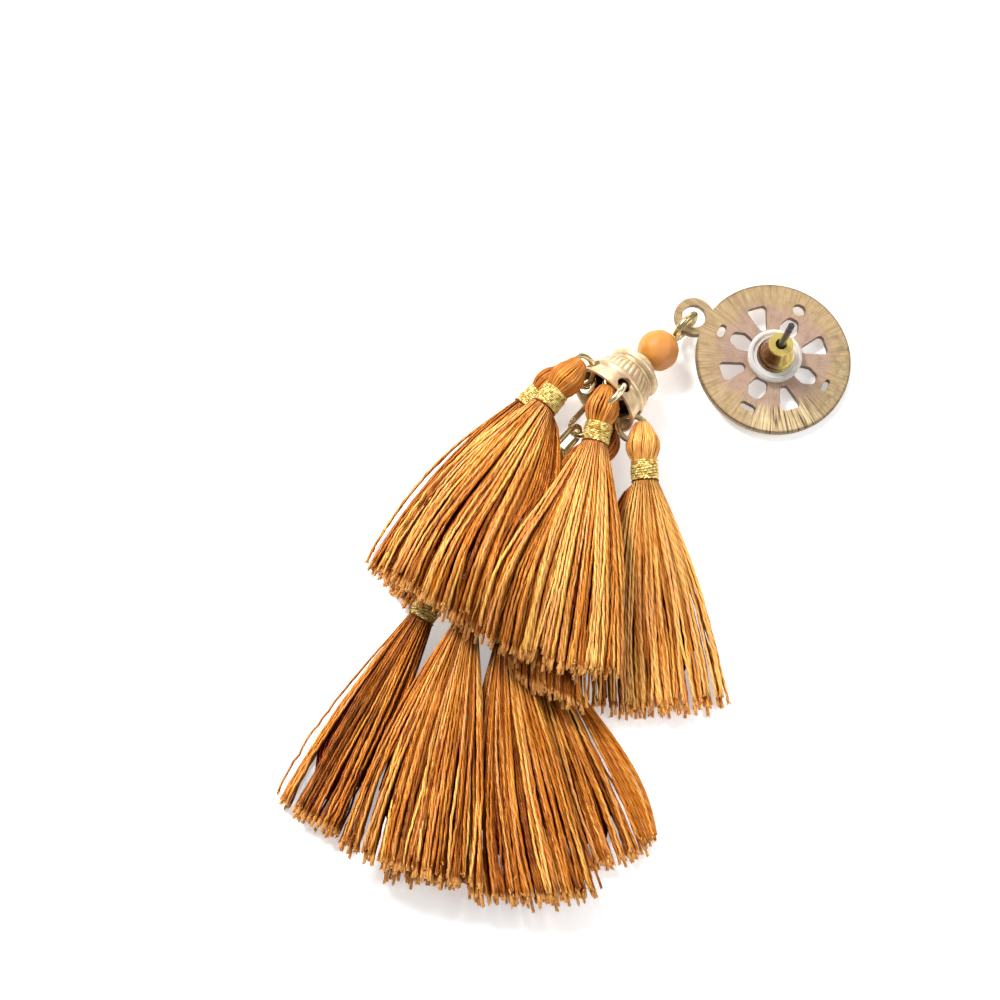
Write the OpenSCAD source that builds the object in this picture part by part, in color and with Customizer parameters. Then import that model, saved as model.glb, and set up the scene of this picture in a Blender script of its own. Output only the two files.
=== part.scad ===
// Long tassel earring, lying on a flat surface with the back of its disc up.
// A pierced disc with an ear post carries a bead and a bell cap with five tassels.
// A short chain leads from that cap to a second cap with five more tassels.

/* [Disc] */
// Diameter of the pierced disc
disc_d = 19; // [17:0.5:24]
// Thickness of the disc
disc_t = 1; // [0.8:0.1:1.6]
// Bevel around both faces of the disc
disc_bevel = 0.15; // [0.05:0.05:0.3]
// Outer diameter of the lug ring at the disc's edge
lug_d = 4.9; // [4.5:0.1:6]
// Hole in the lug ring
lug_hole_d = 2.9; // [2.6:0.1:3.2]
// Distance of the lug's centre from the disc's edge
lug_reach = 1.35; // [1:0.05:2]
// Widest part of a wedge-shaped hole
wedge_w = 2.4; // [1.6:0.1:2.8]
// Length of a wedge-shaped hole
wedge_l = 3.1; // [2:0.1:3.6]
// Distance of the wedge-shaped holes from the disc's centre
wedge_at = 5.2; // [4.8:0.1:5.6]
// Widest part of a round hole
petal_w = 2.3; // [1.4:0.1:2.6]
// Length of a round hole
petal_l = 2.7; // [2:0.1:3]
// Distance of the round holes from the disc's centre
petal_at = 4.4; // [4.2:0.1:4.7]
// Distance of the outer slits from the disc's centre
slit_at = 7.1; // [6.9:0.1:7.4]
// Length of the longest outer slit
slit_l = 2; // [1.6:0.1:2.4]

/* [Post and clutch] */
// Diameter of the ear post
post_d = 0.8; // [0.6:0.05:1]
// Length of the ear post above the disc
post_l = 12; // [10:0.5:14]
// Diameter of the clutch's tube at its foot
tube_d = 4.4; // [4:0.1:5]
// Diameter of the clutch's tube at its tip
tube_tip_d = 2.9; // [2.4:0.1:3.4]
// Length of the clutch's tube
tube_l = 4.8; // [4:0.1:5.5]
// Diameter of the mouth at the tube's tip
tube_mouth_d = 1.4; // [1.2:0.1:1.8]
// Diameter of the clear pad
pad_d = 6.6; // [5.8:0.1:8]
// Thickness of the clear pad
pad_t = 1.2; // [0.8:0.1:1.6]

/* [Bead and wire] */
// Diameter of the bead
bead_d = 5.2; // [4.6:0.1:6]
// Diameter of the pin's wire
wire_d = 0.85; // [0.7:0.05:0.95]
// Outer diameter of the loops at the pin's ends
loop_d = 4.5; // [4.2:0.1:4.8]

/* [Bell caps] */
// Diameter of a cap's rim
rim_d = 9.5; // [9:0.1:10.5]
// Length of a cap
cap_l = 7.6; // [7:0.1:8.4]
// Diameter of the collar that meets the bead
collar_d = 3.6; // [3:0.1:4.2]
// Diameter of the brim below the collar
brim_d = 7.1; // [6.6:0.1:7.4]
// Wall of a cap
cap_wall = 0.6; // [0.5:0.05:0.8]
// Diameter of the holes in a rim
rim_hole_d = 1.9; // [1.7:0.1:2]
// Distance of those holes from the rim's edge
rim_hole_inset = 1.35; // [1.2:0.05:1.6]

/* [Chain and jump rings] */
// Number of links in the chain
links = 5; // [4:1:6]
// Length of a link
link_l = 5.1; // [5:0.1:6]
// Width of a link
link_w = 3.3; // [3.1:0.1:3.8]
// Diameter of a link's wire
link_wire_d = 0.7; // [0.6:0.05:0.75]
// Outer diameter of a jump ring
ring_d = 4.4; // [4.2:0.1:4.8]
// Diameter of a jump ring's wire
ring_wire_d = 0.75; // [0.65:0.05:0.8]

/* [Tassels] */
// Diameter of a tassel's folded head
head_d = 4; // [3.6:0.1:4.2]
// Length of the head from the jump ring to the neck
head_l = 3.3; // [3:0.1:3.6]
// Diameter of the tied neck
neck_d = 2.9; // [2.6:0.1:3.1]
// Length of the metallic band on the neck
wrap_l = 2.6; // [2.2:0.1:3]
// Thickness of the metallic band
wrap_t = 0.25; // [0.2:0.05:0.35]
// Length of a tassel's skirt
skirt_l = 29.5; // [26:0.5:30]
// Thickness of a skirt at its cut end
skirt_t = 2.8; // [2.4:0.1:3.2]

/* [Hidden] */

// Clearances
seat_gap = 0.12;
bore_gap = 0.12;
post_gap = 0.05;
thread_gap = 0.1;

// How the pieces lie
disc_heading = 15.7;
disc_tilt = 7;
cap_rise = 12;
lower_rise = 8;
lower_heading = 22;
lower_rim_z = 5.5;
chain_heading = 1;

// Directions: a heading turns from -Y towards +X, a rise lifts from the surface
function ahead(a) = [sin(a), -cos(a), 0];
function side(a) = [cos(a), sin(a), 0];
function aim(a, rise) = ahead(a) * cos(rise) + [0, 0, sin(rise)];
function unit(v) = v / norm(v);
function mix(a, b, s) = a + (b - a) * s;

// Disc
disc_r = disc_d / 2;
lug_at = disc_r + lug_reach;
hole_turn = 45;
corner_r = 0.5;
petal_r = 0.6;
// Outer slits: place around the disc from the lug, length and width as shares of slit_l
SLIT_TURN = 0;
SLIT_LONG = 1;
SLIT_WIDE = 2;
slits = [[0, 0.85, 0.42], [90, 1, 0.45], [180, 0.85, 0.3], [270, 0.8, 0.72]];
lug_z = (disc_r + lug_at) * sin(disc_tilt) + disc_t / 2 * cos(disc_tilt);

// Bead, pin and upper cap, on one line that rises towards the cap's mouth
loop_r = (loop_d - wire_d) / 2;
bead_to_loop = bead_d / 2 + seat_gap + loop_d / 2;
lug_past_loop = (lug_d - lug_hole_d) / 2 + (lug_hole_d - loop_d) / 2 + wire_d + seat_gap + 0.35;
bead_z = lug_z - 0.2 + bead_to_loop * sin(cap_rise);
bead_c = [0, 0, bead_z];
cap_axis = aim(0, cap_rise);
loop_c = bead_c - cap_axis * bead_to_loop;
lug_c = [0, loop_c.y + lug_past_loop, lug_z];
bead_to_collar = bead_d / 2 + seat_gap;
upper_rim_c = bead_c + cap_axis * (bead_to_collar + cap_l);

// Sections of a bell cap from collar to rim: share of its length, share of the size named beside it
collar_r = collar_d / 2;
brim_r = brim_d / 2;
rim_r = rim_d / 2;
plate_t = cap_l * 0.24;
loop_in_cap = plate_t + seat_gap + loop_d / 2;
flute_top_r = brim_r * 0.9;
band_r = rim_r * 0.87;
band_at = cap_l * 0.72;

// Chain
link_r = (link_w - link_wire_d) / 2;
link_half = (link_l - link_w) / 2;
link_pitch = link_l - 2 * link_wire_d - 0.25;
link_in_loop = loop_r - wire_d / 2 - link_wire_d / 2 - 3 * seat_gap;
inner_loop_c = upper_rim_c - cap_axis * (cap_l - loop_in_cap);
chain_reach = (links - 1) * link_pitch + link_l - link_wire_d + 2 * (link_in_loop - loop_r);
lower_axis = aim(lower_heading, lower_rise);
eye_to_collar = loop_d / 2 + seat_gap + 0.1;
eye_z = lower_rim_z - (cap_l + eye_to_collar) * sin(lower_rise);
hang_from = inner_loop_c + cap_axis * loop_r;
chain_rise = asin((eye_z - lower_axis.z * loop_r - hang_from.z) / chain_reach);
chain_axis = aim(chain_heading, chain_rise);
eye_c = hang_from + chain_axis * chain_reach + lower_axis * loop_r;
lower_rim_c = eye_c + lower_axis * (eye_to_collar + cap_l);

// Jump rings
ring_r = (ring_d - ring_wire_d) / 2;
hole_share = (cap_l - rim_hole_inset - band_at) / (cap_l - band_at);
hole_circle_r = mix(band_r, rim_r, hole_share) - cap_wall / 2;

// Where each tassel hangs and how it lies
CAP = 0;       // 0 upper cap, 1 lower cap
HOLE = 1;      // place of its hole around the rim
RING_TURN = 2; // heading of its ring
RING_RISE = 3; // rise of its ring
HANG = 4;      // where on the ring the head sits
TURN = 5;      // heading of head and neck
DIP = 6;       // how far head and neck point down
FAN = 7;       // half angle of the fan
SWAY = 8;      // sideways curve of the skirt, as a share of its length
REST = 9;      // height of the skirt's end, as a share of skirt_t
THICK = 10;    // thickness of the skirt's end, as a share of skirt_t
DRAPE = 11;    // how much of the lift over the lower cap the skirt follows
LONG = 12;     // length of the skirt, as a share of skirt_l
SUNK = 13;     // how deep the ring sits in the head, as a share of head_l
tassels = [
    [0, -124, -50,  27,  35, -5,  6,    6,   0.2, 0.22, 0.4, 0,   0.9, 0.15],
    [0,  -52, -15,  26,   2,  5,  4,   13,  0.15, 1.95,   1, 1,  0.95, 0.28],
    [0,   20,  -2, -11,   3, 31,  5,   14,  0.01,  2.7, 0.8, 1, 0.965, 0.45],
    [0,   92,  36,  14,  46, 46,  7, 13.6,  0.01,  0.5,   1, 0, 0.935, 0.28],
    [0,  164,  35,  25, -20, 20,  3,  7.6,  0.23, 1.95, 0.5, 1,  0.94,    0],
    [1,  -72,  10, -28,   0, 13, 14,  8.2,  0.05,  0.5,   1, 0,  0.93,    0],
    [1,    0,  20, -11,   0, 26, 14,   13,  0.07,  2.0,   1, 0,  1.02,    0],
    [1,   72,   8,  -4,   0, 45, 10,   12,  0.08,  1.4,   1, 0,  1.04,    0],
    [1,  144,  66,   4,   0, 60,  2,    9,     0, 0.35, 0.7, 0,   0.9,    0],
    [1, -144,  35,   2,   0, 38,  2,    9, -0.03,  0.3, 0.6, 0,  0.97,    0]
];

function rim_c(t) = t[CAP] == 0 ? upper_rim_c : lower_rim_c;
function rim_axis(t) = t[CAP] == 0 ? cap_axis : lower_axis;
function rim_side(t) = side(t[CAP] == 0 ? 0 : lower_heading);
function hole_out(t) = rim_side(t) * sin(t[HOLE]) + cross(rim_axis(t), rim_side(t)) * cos(t[HOLE]);
function hole_c(t) = rim_c(t) - rim_axis(t) * rim_hole_inset + hole_out(t) * hole_circle_r;
function ring_dir(t) = aim(t[RING_TURN], t[RING_RISE]);
function ring_across(t) = unit(hole_out(t) - ring_dir(t) * (hole_out(t) * ring_dir(t)));
function ring_c(t) = hole_c(t) + ring_dir(t) * ring_r;
function hang_c(t) = ring_c(t) + (ring_dir(t) * cos(t[HANG]) + ring_across(t) * sin(t[HANG])) * ring_r;
function neck_dir(t) = aim(t[TURN], -t[DIP]);
function neck_at(t, l) = hang_c(t) + neck_dir(t) * (l - t[SUNK] * head_l);

// Sections of a head from its crown to the neck: share of head_l, share of its radius
head_rows = [[-0.38, 0.3], [-0.28, 0.55], [-0.05, 0.68], [0.25, 0.92], [0.55, 1], [0.85, 0.88]];
head_r = head_d / 2;
neck_r = neck_d / 2;
sides = 28;
skirt_rows = 10;
lock_depth = 0.09;
belly = 0.6;
ragged = 0.02;
skirt_from = head_l + wrap_l + 2 * thread_gap;

// Lift of the upper skirts where they lie over the lower cap and its heads
drape_h = 7.6;
drape_w = 9.5;
drape_c = [lower_rim_c.x, lower_rim_c.y] + [lower_axis.x, lower_axis.y] * 1.5;
function lift(t, p) =
    let (d = norm([p.x, p.y] - drape_c) / drape_w)
    t[DRAPE] * drape_h * exp(-d * d);

function height(z0, slope, z1, s) =
    z0 * (1 - s) * (1 - s) * (1 + 2 * s) + slope * s * (1 - s) * (1 - s) + z1 * s * s * (3 - 2 * s);

function tassel_point(t, s, across, over, lock) =
    let (n = neck_at(t, skirt_from),
         l = t[LONG] * skirt_l,
         r = l * s,
         a = across * t[FAN],
         flat = mix(neck_r, t[THICK] * skirt_t / 2, s) * lock * over,
         wide = (neck_r * across + r * (1 + belly * (1 - s)) * sin(a)) * mix(1, lock, 0.4) + t[SWAY] * l * s * s,
         p = [n.x, n.y, 0] + ahead(t[TURN]) * r * cos(a) + side(t[TURN]) * wide,
         z = height(n.z, -l * tan(t[DIP]), t[REST] * skirt_t, s) + flat)
    [p.x, p.y, max(0, z + lift(t, p))];

function lock_of(k, s) = 1 + lock_depth * (k % 2 == 0 ? 1 : -1) * min(1, s * 3);

function head_ring(t, l, r) =
    [for (k = [0 : sides - 1])
        let (a = 360 * k / sides,
             u = side(t[TURN]) * cos(a) + cross(side(t[TURN]), neck_dir(t)) * -sin(a),
             p = neck_at(t, l) + u * r)
        [p.x, p.y, max(0, p.z)]];

function skirt_ring(t, s) =
    [for (k = [0 : sides - 1])
        let (a = 360 * k / sides,
             end = s == 1 ? 1 - ragged * ((k * 5) % 4) : s)
        tassel_point(t, end, cos(a), sin(a), lock_of(k, s))];

function tassel_rings(t) = concat(
    [for (row = head_rows) head_ring(t, row[0] * head_l, row[1] * head_r)],
    [head_ring(t, head_l, neck_r), head_ring(t, head_l + wrap_l + thread_gap, neck_r)],
    [for (i = [0 : skirt_rows]) skirt_ring(t, i / skirt_rows)]);

function centre(ring) = [for (axis = [0 : 2]) [for (p = ring) p[axis]] * [for (p = ring) 1] / len(ring)];

// Triangles of a skin over rings of points; the last two points are the centres of its two ends
function tube_faces(rings) =
    let (last = (rings - 1) * sides, n = rings * sides)
    [for (k = [0 : sides - 1])
        let (j = (k + 1) % sides)
        each concat(
            [[n, k, j], [n + 1, last + j, last + k]],
            [for (b = [0 : sides : last - sides])
                each [[b + k, b + sides + k, b + sides + j], [b + k, b + sides + j, b + j]]])];

// Post, clutch and pins
notch_at = 1.7;
notch_l = 0.6;
tube_lift = 0.4;
stem_d = wire_d * 0.94;
chain_roll = 18;
wrap_r = neck_r + thread_gap;
disc_dir = [cos(disc_heading), sin(disc_heading), 0];
disc_c = [lug_c.x, lug_c.y, 0] + disc_dir * lug_at * cos(disc_tilt) + [0, 0, disc_r * sin(disc_tilt)];
function cap_foot(which) = which == 0 ? upper_rim_c - cap_axis * cap_l : lower_rim_c - lower_axis * cap_l;

// Extent of the earring, from the tassels' sections and the tilted disc
disc_normal = disc_dir * sin(disc_tilt) + [0, 0, cos(disc_tilt)];
tassel_xy = [for (t = tassels, r = tassel_rings(t), p = r) [p.x, p.y]];
max_x = max([for (p = tassel_xy) p.x]);
min_x = min([for (p = tassel_xy) p.x]);
min_y = min([for (p = tassel_xy) p.y]);
max_y = disc_c.y + disc_r * sqrt(1 - disc_normal.y * disc_normal.y) + disc_t * disc_normal.y;

// Moves a piece that is drawn along +Z to a place and a direction
module place(at, along) {
    translate(at)
        rotate([0, acos(along.z), atan2(along.y, along.x)])
            children();
}

module torus(r, wire, turns = 64, round = 24) {
    rotate_extrude($fn = turns)
        translate([r, 0])
            circle(d = wire, $fn = round);
}

module disc_frame() {
    translate(disc_c)
        rotate([0, 0, disc_heading + 180])
            rotate([0, -disc_tilt, 0])
                children();
}

// A convex outline: circles of one radius at the listed corners, counter-clockwise, and their tangents
function rounded(corners, r) =
    [for (i = [0 : len(corners) - 1])
        let (n = len(corners),
             before = corners[i] - corners[(i + n - 1) % n],
             after = corners[(i + 1) % n] - corners[i],
             a0 = atan2(-before.x, before.y),
             a1 = atan2(-after.x, after.y),
             span = (a1 - a0 + 360) % 360,
             steps = max(2, round(span / 18)))
        for (k = [0 : steps]) corners[i] + r * [cos(a0 + span * k / steps), sin(a0 + span * k / steps)]];

module wedge_hole() {
    out = wedge_at + wedge_l / 2 - corner_r;
    in = wedge_at - wedge_l / 2 + corner_r;
    half = wedge_w / 2 - corner_r;
    tip = wedge_w * 0.02;
    polygon(rounded([[in, -tip], [out, -half], [out, half], [in, tip]], corner_r));
}

module petal_hole() {
    out = petal_at + petal_l / 2 - petal_r;
    in = petal_at - petal_l / 2 + petal_r;
    half = petal_w / 2 - petal_r;
    polygon(rounded([[in, -half * 0.6], [petal_at, -half], [out, -half * 0.45],
                     [out, half * 0.45], [petal_at, half], [in, half * 0.6]], petal_r));
}

module slit_hole(s) {
    r = slit_l * s[SLIT_WIDE] / 2;
    half = max(0.02, slit_l * s[SLIT_LONG] / 2 - r);
    polygon(rounded([[slit_at, -half], [slit_at, half]], r));
}

module bevelled_disc(r) {
    rotate_extrude($fn = 120)
        polygon([[0, 0], [r - disc_bevel, 0], [r, disc_bevel], [r, disc_t - disc_bevel],
                 [r - disc_bevel, disc_t], [0, disc_t]]);
}

// The post stands on a small solder foot and has a notch near its tip
module post() {
    r = post_d / 2;
    neck = r * 0.55;
    foot = r * 2.4;
    rotate_extrude($fn = 48)
        polygon([[0, -disc_t / 2], [foot, -disc_t / 2], [foot, 0.05], [r, 0.3], [r, post_l - notch_at],
                 [neck, post_l - notch_at + 0.15], [neck, post_l - notch_at + 0.45],
                 [r, post_l - notch_at + notch_l], [r, post_l - 0.15], [r * 0.6, post_l], [0, post_l]]);
}

module disc_stud() {
    color("tan")
        disc_frame() {
            difference() {
                union() {
                    bevelled_disc(disc_r);
                    translate([lug_at, 0, 0])
                        bevelled_disc(lug_d / 2);
                }
                translate([lug_at, 0, -disc_t])
                    cylinder(d = lug_hole_d, h = 3 * disc_t, $fn = 48);
                translate([0, 0, -disc_t])
                    linear_extrude(3 * disc_t) {
                        for (k = [0 : 3]) {
                            rotate(90 * k + hole_turn)
                                wedge_hole();
                            rotate(90 * k)
                                petal_hole();
                        }
                        for (s = slits)
                            rotate(s[SLIT_TURN])
                                slit_hole(s);
                    }
            }
            translate([0, 0, disc_t])
                post();
        }
}

module clutch_tube() {
    foot = tube_d / 2;
    tip = tube_tip_d / 2;
    bore = post_d / 2 + post_gap;
    mouth = tube_mouth_d / 2;
    color("gold")
        disc_frame()
            translate([0, 0, disc_t + tube_lift])
                rotate_extrude($fn = 64)
                    polygon([[bore, 0], [foot, 0], [foot, pad_t], [foot * 0.92, pad_t + 0.15],
                             [foot * 0.9, tube_l * 0.45], [tip * 1.08, tube_l * 0.85], [tip, tube_l],
                             [mouth, tube_l], [bore, tube_l - mouth * 1.4]]);
}

module clutch_pad() {
    inner = tube_d / 2 + post_gap;
    outer = pad_d / 2;
    edge = pad_t * 0.25;
    color("whitesmoke")
        disc_frame()
            translate([0, 0, disc_t + seat_gap])
                rotate_extrude($fn = 64)
                    polygon([[inner, 0], [outer - edge, 0], [outer, edge], [outer, pad_t - edge],
                             [outer - edge, pad_t], [mix(inner, outer, 0.55), pad_t],
                             [mix(inner, outer, 0.4), pad_t - edge], [inner, pad_t - edge]]);
}

module bead() {
    color("sandybrown")
        place(bead_c, cap_axis)
            difference() {
                sphere(d = bead_d, $fn = 64);
                cylinder(d = wire_d + 2 * bore_gap, h = 2 * bead_d, center = true, $fn = 32);
            }
}

// A pin with a loop through the lug ring and a loop inside the cap
module eye_pin() {
    color("khaki")
        place(bead_c, cap_axis) {
            translate([0, 0, -bead_to_loop])
                rotate([90, 0, 0])
                    torus(loop_r, wire_d);
            translate([0, 0, -bead_to_loop + loop_r])
                cylinder(d = stem_d, h = bead_to_loop + bead_to_collar + loop_in_cap - 2 * loop_r, $fn = 32);
            translate([0, 0, bead_to_collar + loop_in_cap])
                rotate([0, 90, 0])
                    torus(loop_r, wire_d);
        }
}

// A pin with an eye for the chain and a flat head inside the lower cap
module lower_eye_pin() {
    head = stem_d * 2.4;
    color("khaki")
        place(eye_c, lower_axis) {
            rotate([0, 90, 0])
                torus(loop_r, wire_d);
            translate([0, 0, loop_r])
                cylinder(d = stem_d, h = eye_to_collar + plate_t + seat_gap - loop_r + 0.2, $fn = 32);
            translate([0, 0, eye_to_collar + plate_t + seat_gap])
                cylinder(d = head, h = wire_d * 0.6, $fn = 32);
        }
}

// A bell cap from its collar at the origin to its rim at cap_l
module bell() {
    rotate_extrude($fn = 96)
        polygon([
            [stem_d / 2 + bore_gap, 0], [collar_r * 0.86, 0], [collar_r, cap_l * 0.03],
            [collar_r, cap_l * 0.14], [brim_r * 0.88, cap_l * 0.17], [brim_r, cap_l * 0.21],
            [brim_r, cap_l * 0.27], [flute_top_r, cap_l * 0.32], [mix(flute_top_r, band_r, 0.6), cap_l * 0.48],
            [band_r, cap_l * 0.64], [band_r + cap_wall * 0.3, cap_l * 0.66],
            [band_r + cap_wall * 0.3, cap_l * 0.7], [band_r, band_at], [rim_r, cap_l],
            [rim_r - cap_wall, cap_l], [band_r - cap_wall, band_at], [band_r - cap_wall, cap_l * 0.64],
            [mix(flute_top_r, band_r, 0.6) - cap_wall, cap_l * 0.48], [flute_top_r - cap_wall, cap_l * 0.32],
            [flute_top_r - cap_wall, plate_t], [stem_d / 2 + bore_gap, plate_t]
        ]);
}

module cap(which) {
    color("wheat")
        difference() {
            place(cap_foot(which), which == 0 ? cap_axis : lower_axis)
                bell();
            for (t = tassels)
                if (t[CAP] == which)
                    place(hole_c(t), hole_out(t))
                        cylinder(d = rim_hole_d, h = 6 * cap_wall, center = true, $fn = 32);
        }
}

module link(i) {
    from = link_in_loop - loop_r + (link_l - link_wire_d) / 2;
    at = hang_from + chain_axis * (from + (i - 1) * link_pitch);
    color("khaki")
        place(at, chain_axis)
            rotate([0, 0, chain_roll + 90 * (i - 1)]) {
                for (end = [0, 180])
                    rotate([0, end, 0])
                        translate([0, 0, link_half])
                            rotate([90, 0, 0])
                                rotate_extrude(angle = 180, $fn = 48)
                                    translate([link_r, 0])
                                        circle(d = link_wire_d, $fn = 24);
                for (x = [-link_r, link_r])
                    translate([x, 0, -link_half])
                        cylinder(d = link_wire_d, h = 2 * link_half, $fn = 24);
            }
}

module ring(t) {
    color("palegoldenrod")
        place(ring_c(t), cross(ring_dir(t), ring_across(t)))
            torus(ring_r, ring_wire_d);
}

module tassel(t) {
    rings = tassel_rings(t);
    color("goldenrod")
        difference() {
            polyhedron(points = concat([for (r = rings) each r], [centre(rings[0]), centre(rings[len(rings) - 1])]),
                       faces = tube_faces(len(rings)), convexity = 6);
            place(ring_c(t), cross(ring_dir(t), ring_across(t)))
                torus(ring_r, ring_wire_d + 2 * thread_gap, 32, 12);
        }
}

// The metallic band wound around a tassel's neck
module wrap(t) {
    color("gold")
        place(neck_at(t, head_l + thread_gap), neck_dir(t))
            rotate_extrude($fn = 48)
                polygon([[wrap_r, 0], [wrap_r + wrap_t, 0], [wrap_r + wrap_t, wrap_l], [wrap_r, wrap_l]]);
}

// Sets the origin in the middle of the whole earring, on the surface that it lies on
module framed() {
    translate([-(max_x + min_x) / 2, -(max_y + min_y) / 2, 0])
        children();
}

framed() disc_stud();
framed() clutch_tube();
framed() clutch_pad();
framed() bead();
framed() eye_pin();
framed() cap(0);  // upper_cap
framed() lower_eye_pin();
framed() cap(1);  // lower_cap
for (i = [1 : links]) framed() link(i);
for (i = [1 : 10]) framed() ring(tassels[i - 1]);
for (i = [1 : 10]) framed() tassel(tassels[i - 1]);
for (i = [1 : 10]) framed() wrap(tassels[i - 1]);
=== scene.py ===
"""Long tassel earring, lying with the back of its pierced disc up.

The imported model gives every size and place. This script gives the earring its looks: silky twisted threads,
wound metallic bands, pressed bell caps, a soft-faceted bead and aged gilt metal, in soft studio light.
"""

from __future__ import annotations

import logging
import math
from abc import ABC, abstractmethod
from dataclasses import dataclass, field
from enum import Enum
from functools import cached_property
from typing import ClassVar

import bmesh
import bpy
import numpy as np
from mathutils import Euler, Matrix, Vector


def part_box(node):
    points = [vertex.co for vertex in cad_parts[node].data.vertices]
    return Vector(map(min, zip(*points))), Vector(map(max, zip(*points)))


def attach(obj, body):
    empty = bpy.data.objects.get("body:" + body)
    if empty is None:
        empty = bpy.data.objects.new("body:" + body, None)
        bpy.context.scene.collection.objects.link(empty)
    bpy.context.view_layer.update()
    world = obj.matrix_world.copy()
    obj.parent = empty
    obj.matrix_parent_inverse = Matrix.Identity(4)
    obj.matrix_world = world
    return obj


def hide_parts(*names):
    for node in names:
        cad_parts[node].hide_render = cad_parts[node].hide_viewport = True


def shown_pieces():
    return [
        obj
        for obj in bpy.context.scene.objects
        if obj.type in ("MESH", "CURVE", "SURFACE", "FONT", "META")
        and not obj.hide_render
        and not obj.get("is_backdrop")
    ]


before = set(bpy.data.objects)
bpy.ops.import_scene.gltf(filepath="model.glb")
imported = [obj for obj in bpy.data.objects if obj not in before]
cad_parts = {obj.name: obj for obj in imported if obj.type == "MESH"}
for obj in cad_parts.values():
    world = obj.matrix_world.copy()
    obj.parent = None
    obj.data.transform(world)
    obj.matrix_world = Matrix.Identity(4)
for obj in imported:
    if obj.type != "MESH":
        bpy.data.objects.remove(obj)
LOG = logging.getLogger("earring")
MM = 0.001
BODY = "root"
FLOOR_GAP = 0.00002
RING_SLACK = 2e-6
STEEP = 0.9
FULL_TURN = 2 * math.pi
GOLDEN_TURN = math.pi * (3 - math.sqrt(5))
PHOTO_TURN = 43.0
PHOTO_PIXELS = 1000
Socket = bpy.types.NodeSocket
Triple = tuple[float, float, float]
Colour = Triple
Values = dict[str | int, object]
Array = np.ndarray
Material = bpy.types.Material
NodeTree = bpy.types.NodeTree


def ahead(heading: float) -> Array:
    """Level direction that turns from -Y towards +X, in degrees."""
    a = math.radians(heading)
    return np.array([math.sin(a), -math.cos(a), 0.0])


def side(heading: float) -> Array:
    """Level direction to the right of a heading, in degrees."""
    a = math.radians(heading)
    return np.array([math.cos(a), math.sin(a), 0.0])


def aim(heading: float, rise: float) -> Array:
    """Direction of a heading that rises from the surface, both in degrees."""
    r = math.radians(rise)
    return ahead(heading) * math.cos(r) + np.array([0.0, 0.0, math.sin(r)])


def photo_way(right: float, up: float, height: float = 0.0) -> Triple:
    """A direction given along the photograph's right and up, and its height."""
    a = math.radians(PHOTO_TURN)
    return (right * math.cos(a) - up * math.sin(a), right * math.sin(a) + up * math.cos(a), height)


def unit(v: Array) -> Array:
    """The vectors of an array at length one."""
    return v / (np.linalg.norm(v, axis=-1, keepdims=True) + 1e-12)


def ease(x: Array) -> Array:
    """Smooth step from 0 to 1."""
    x = np.clip(x, 0.0, 1.0)
    return x * x * (3.0 - 2.0 * x)


def circle(count: int) -> Array:
    """Angles of evenly spaced points round a circle, in radians."""
    return np.arange(count) * FULL_TURN / count


def lift(points: Array, least: Array | float) -> Array:
    """The points, with those that lie too low raised to the least height."""
    points[..., 2] = np.maximum(points[..., 2], least)
    return points


def rgb(red: int, green: int, blue: int) -> Colour:
    """Linear colour of a colour as a screen shows it, from 0 to 255."""
    parts = (red / 255, green / 255, blue / 255)
    return tuple(c / 12.92 if c <= 0.04045 else ((c + 0.055) / 1.055) ** 2.4 for c in parts)


def box_middle(node: str) -> Array:
    """Middle of a node's box, in metres."""
    low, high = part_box(node)
    return (np.array(low) + np.array(high)) / 2


def far_ring(node: str, direction: Array) -> Array:
    """Centre of a turned node's last ring of points along its axis.

    Args:
        node: Name of the node.
        direction: The node's axis.

    Returns:
        The centre, in metres.
    """
    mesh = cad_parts[node].data
    points = np.empty(len(mesh.vertices) * 3)
    mesh.vertices.foreach_get("co", points)
    points = points.reshape(-1, 3)
    along = points @ direction
    last = points[along > along.max() - RING_SLACK]
    return (last.max(axis=0) + last.min(axis=0)) / 2


def paint(finish: Material, *nodes: str) -> None:
    """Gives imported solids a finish.

    Args:
        finish: The finish.
        nodes: Names of the solids.
    """
    for node in nodes:
        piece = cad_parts[node]
        for slot in piece.material_slots:
            slot.material = finish
        if not piece.material_slots:
            piece.data.materials.append(finish)
        LOG.info("%s: painted with %s", node, finish.name)


class Close(Enum):
    """What closes a tube: nothing, a flat face at each end, or the last ring joined to the first one."""

    OPEN = 0
    ENDS = 1
    LOOP = 2


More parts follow.
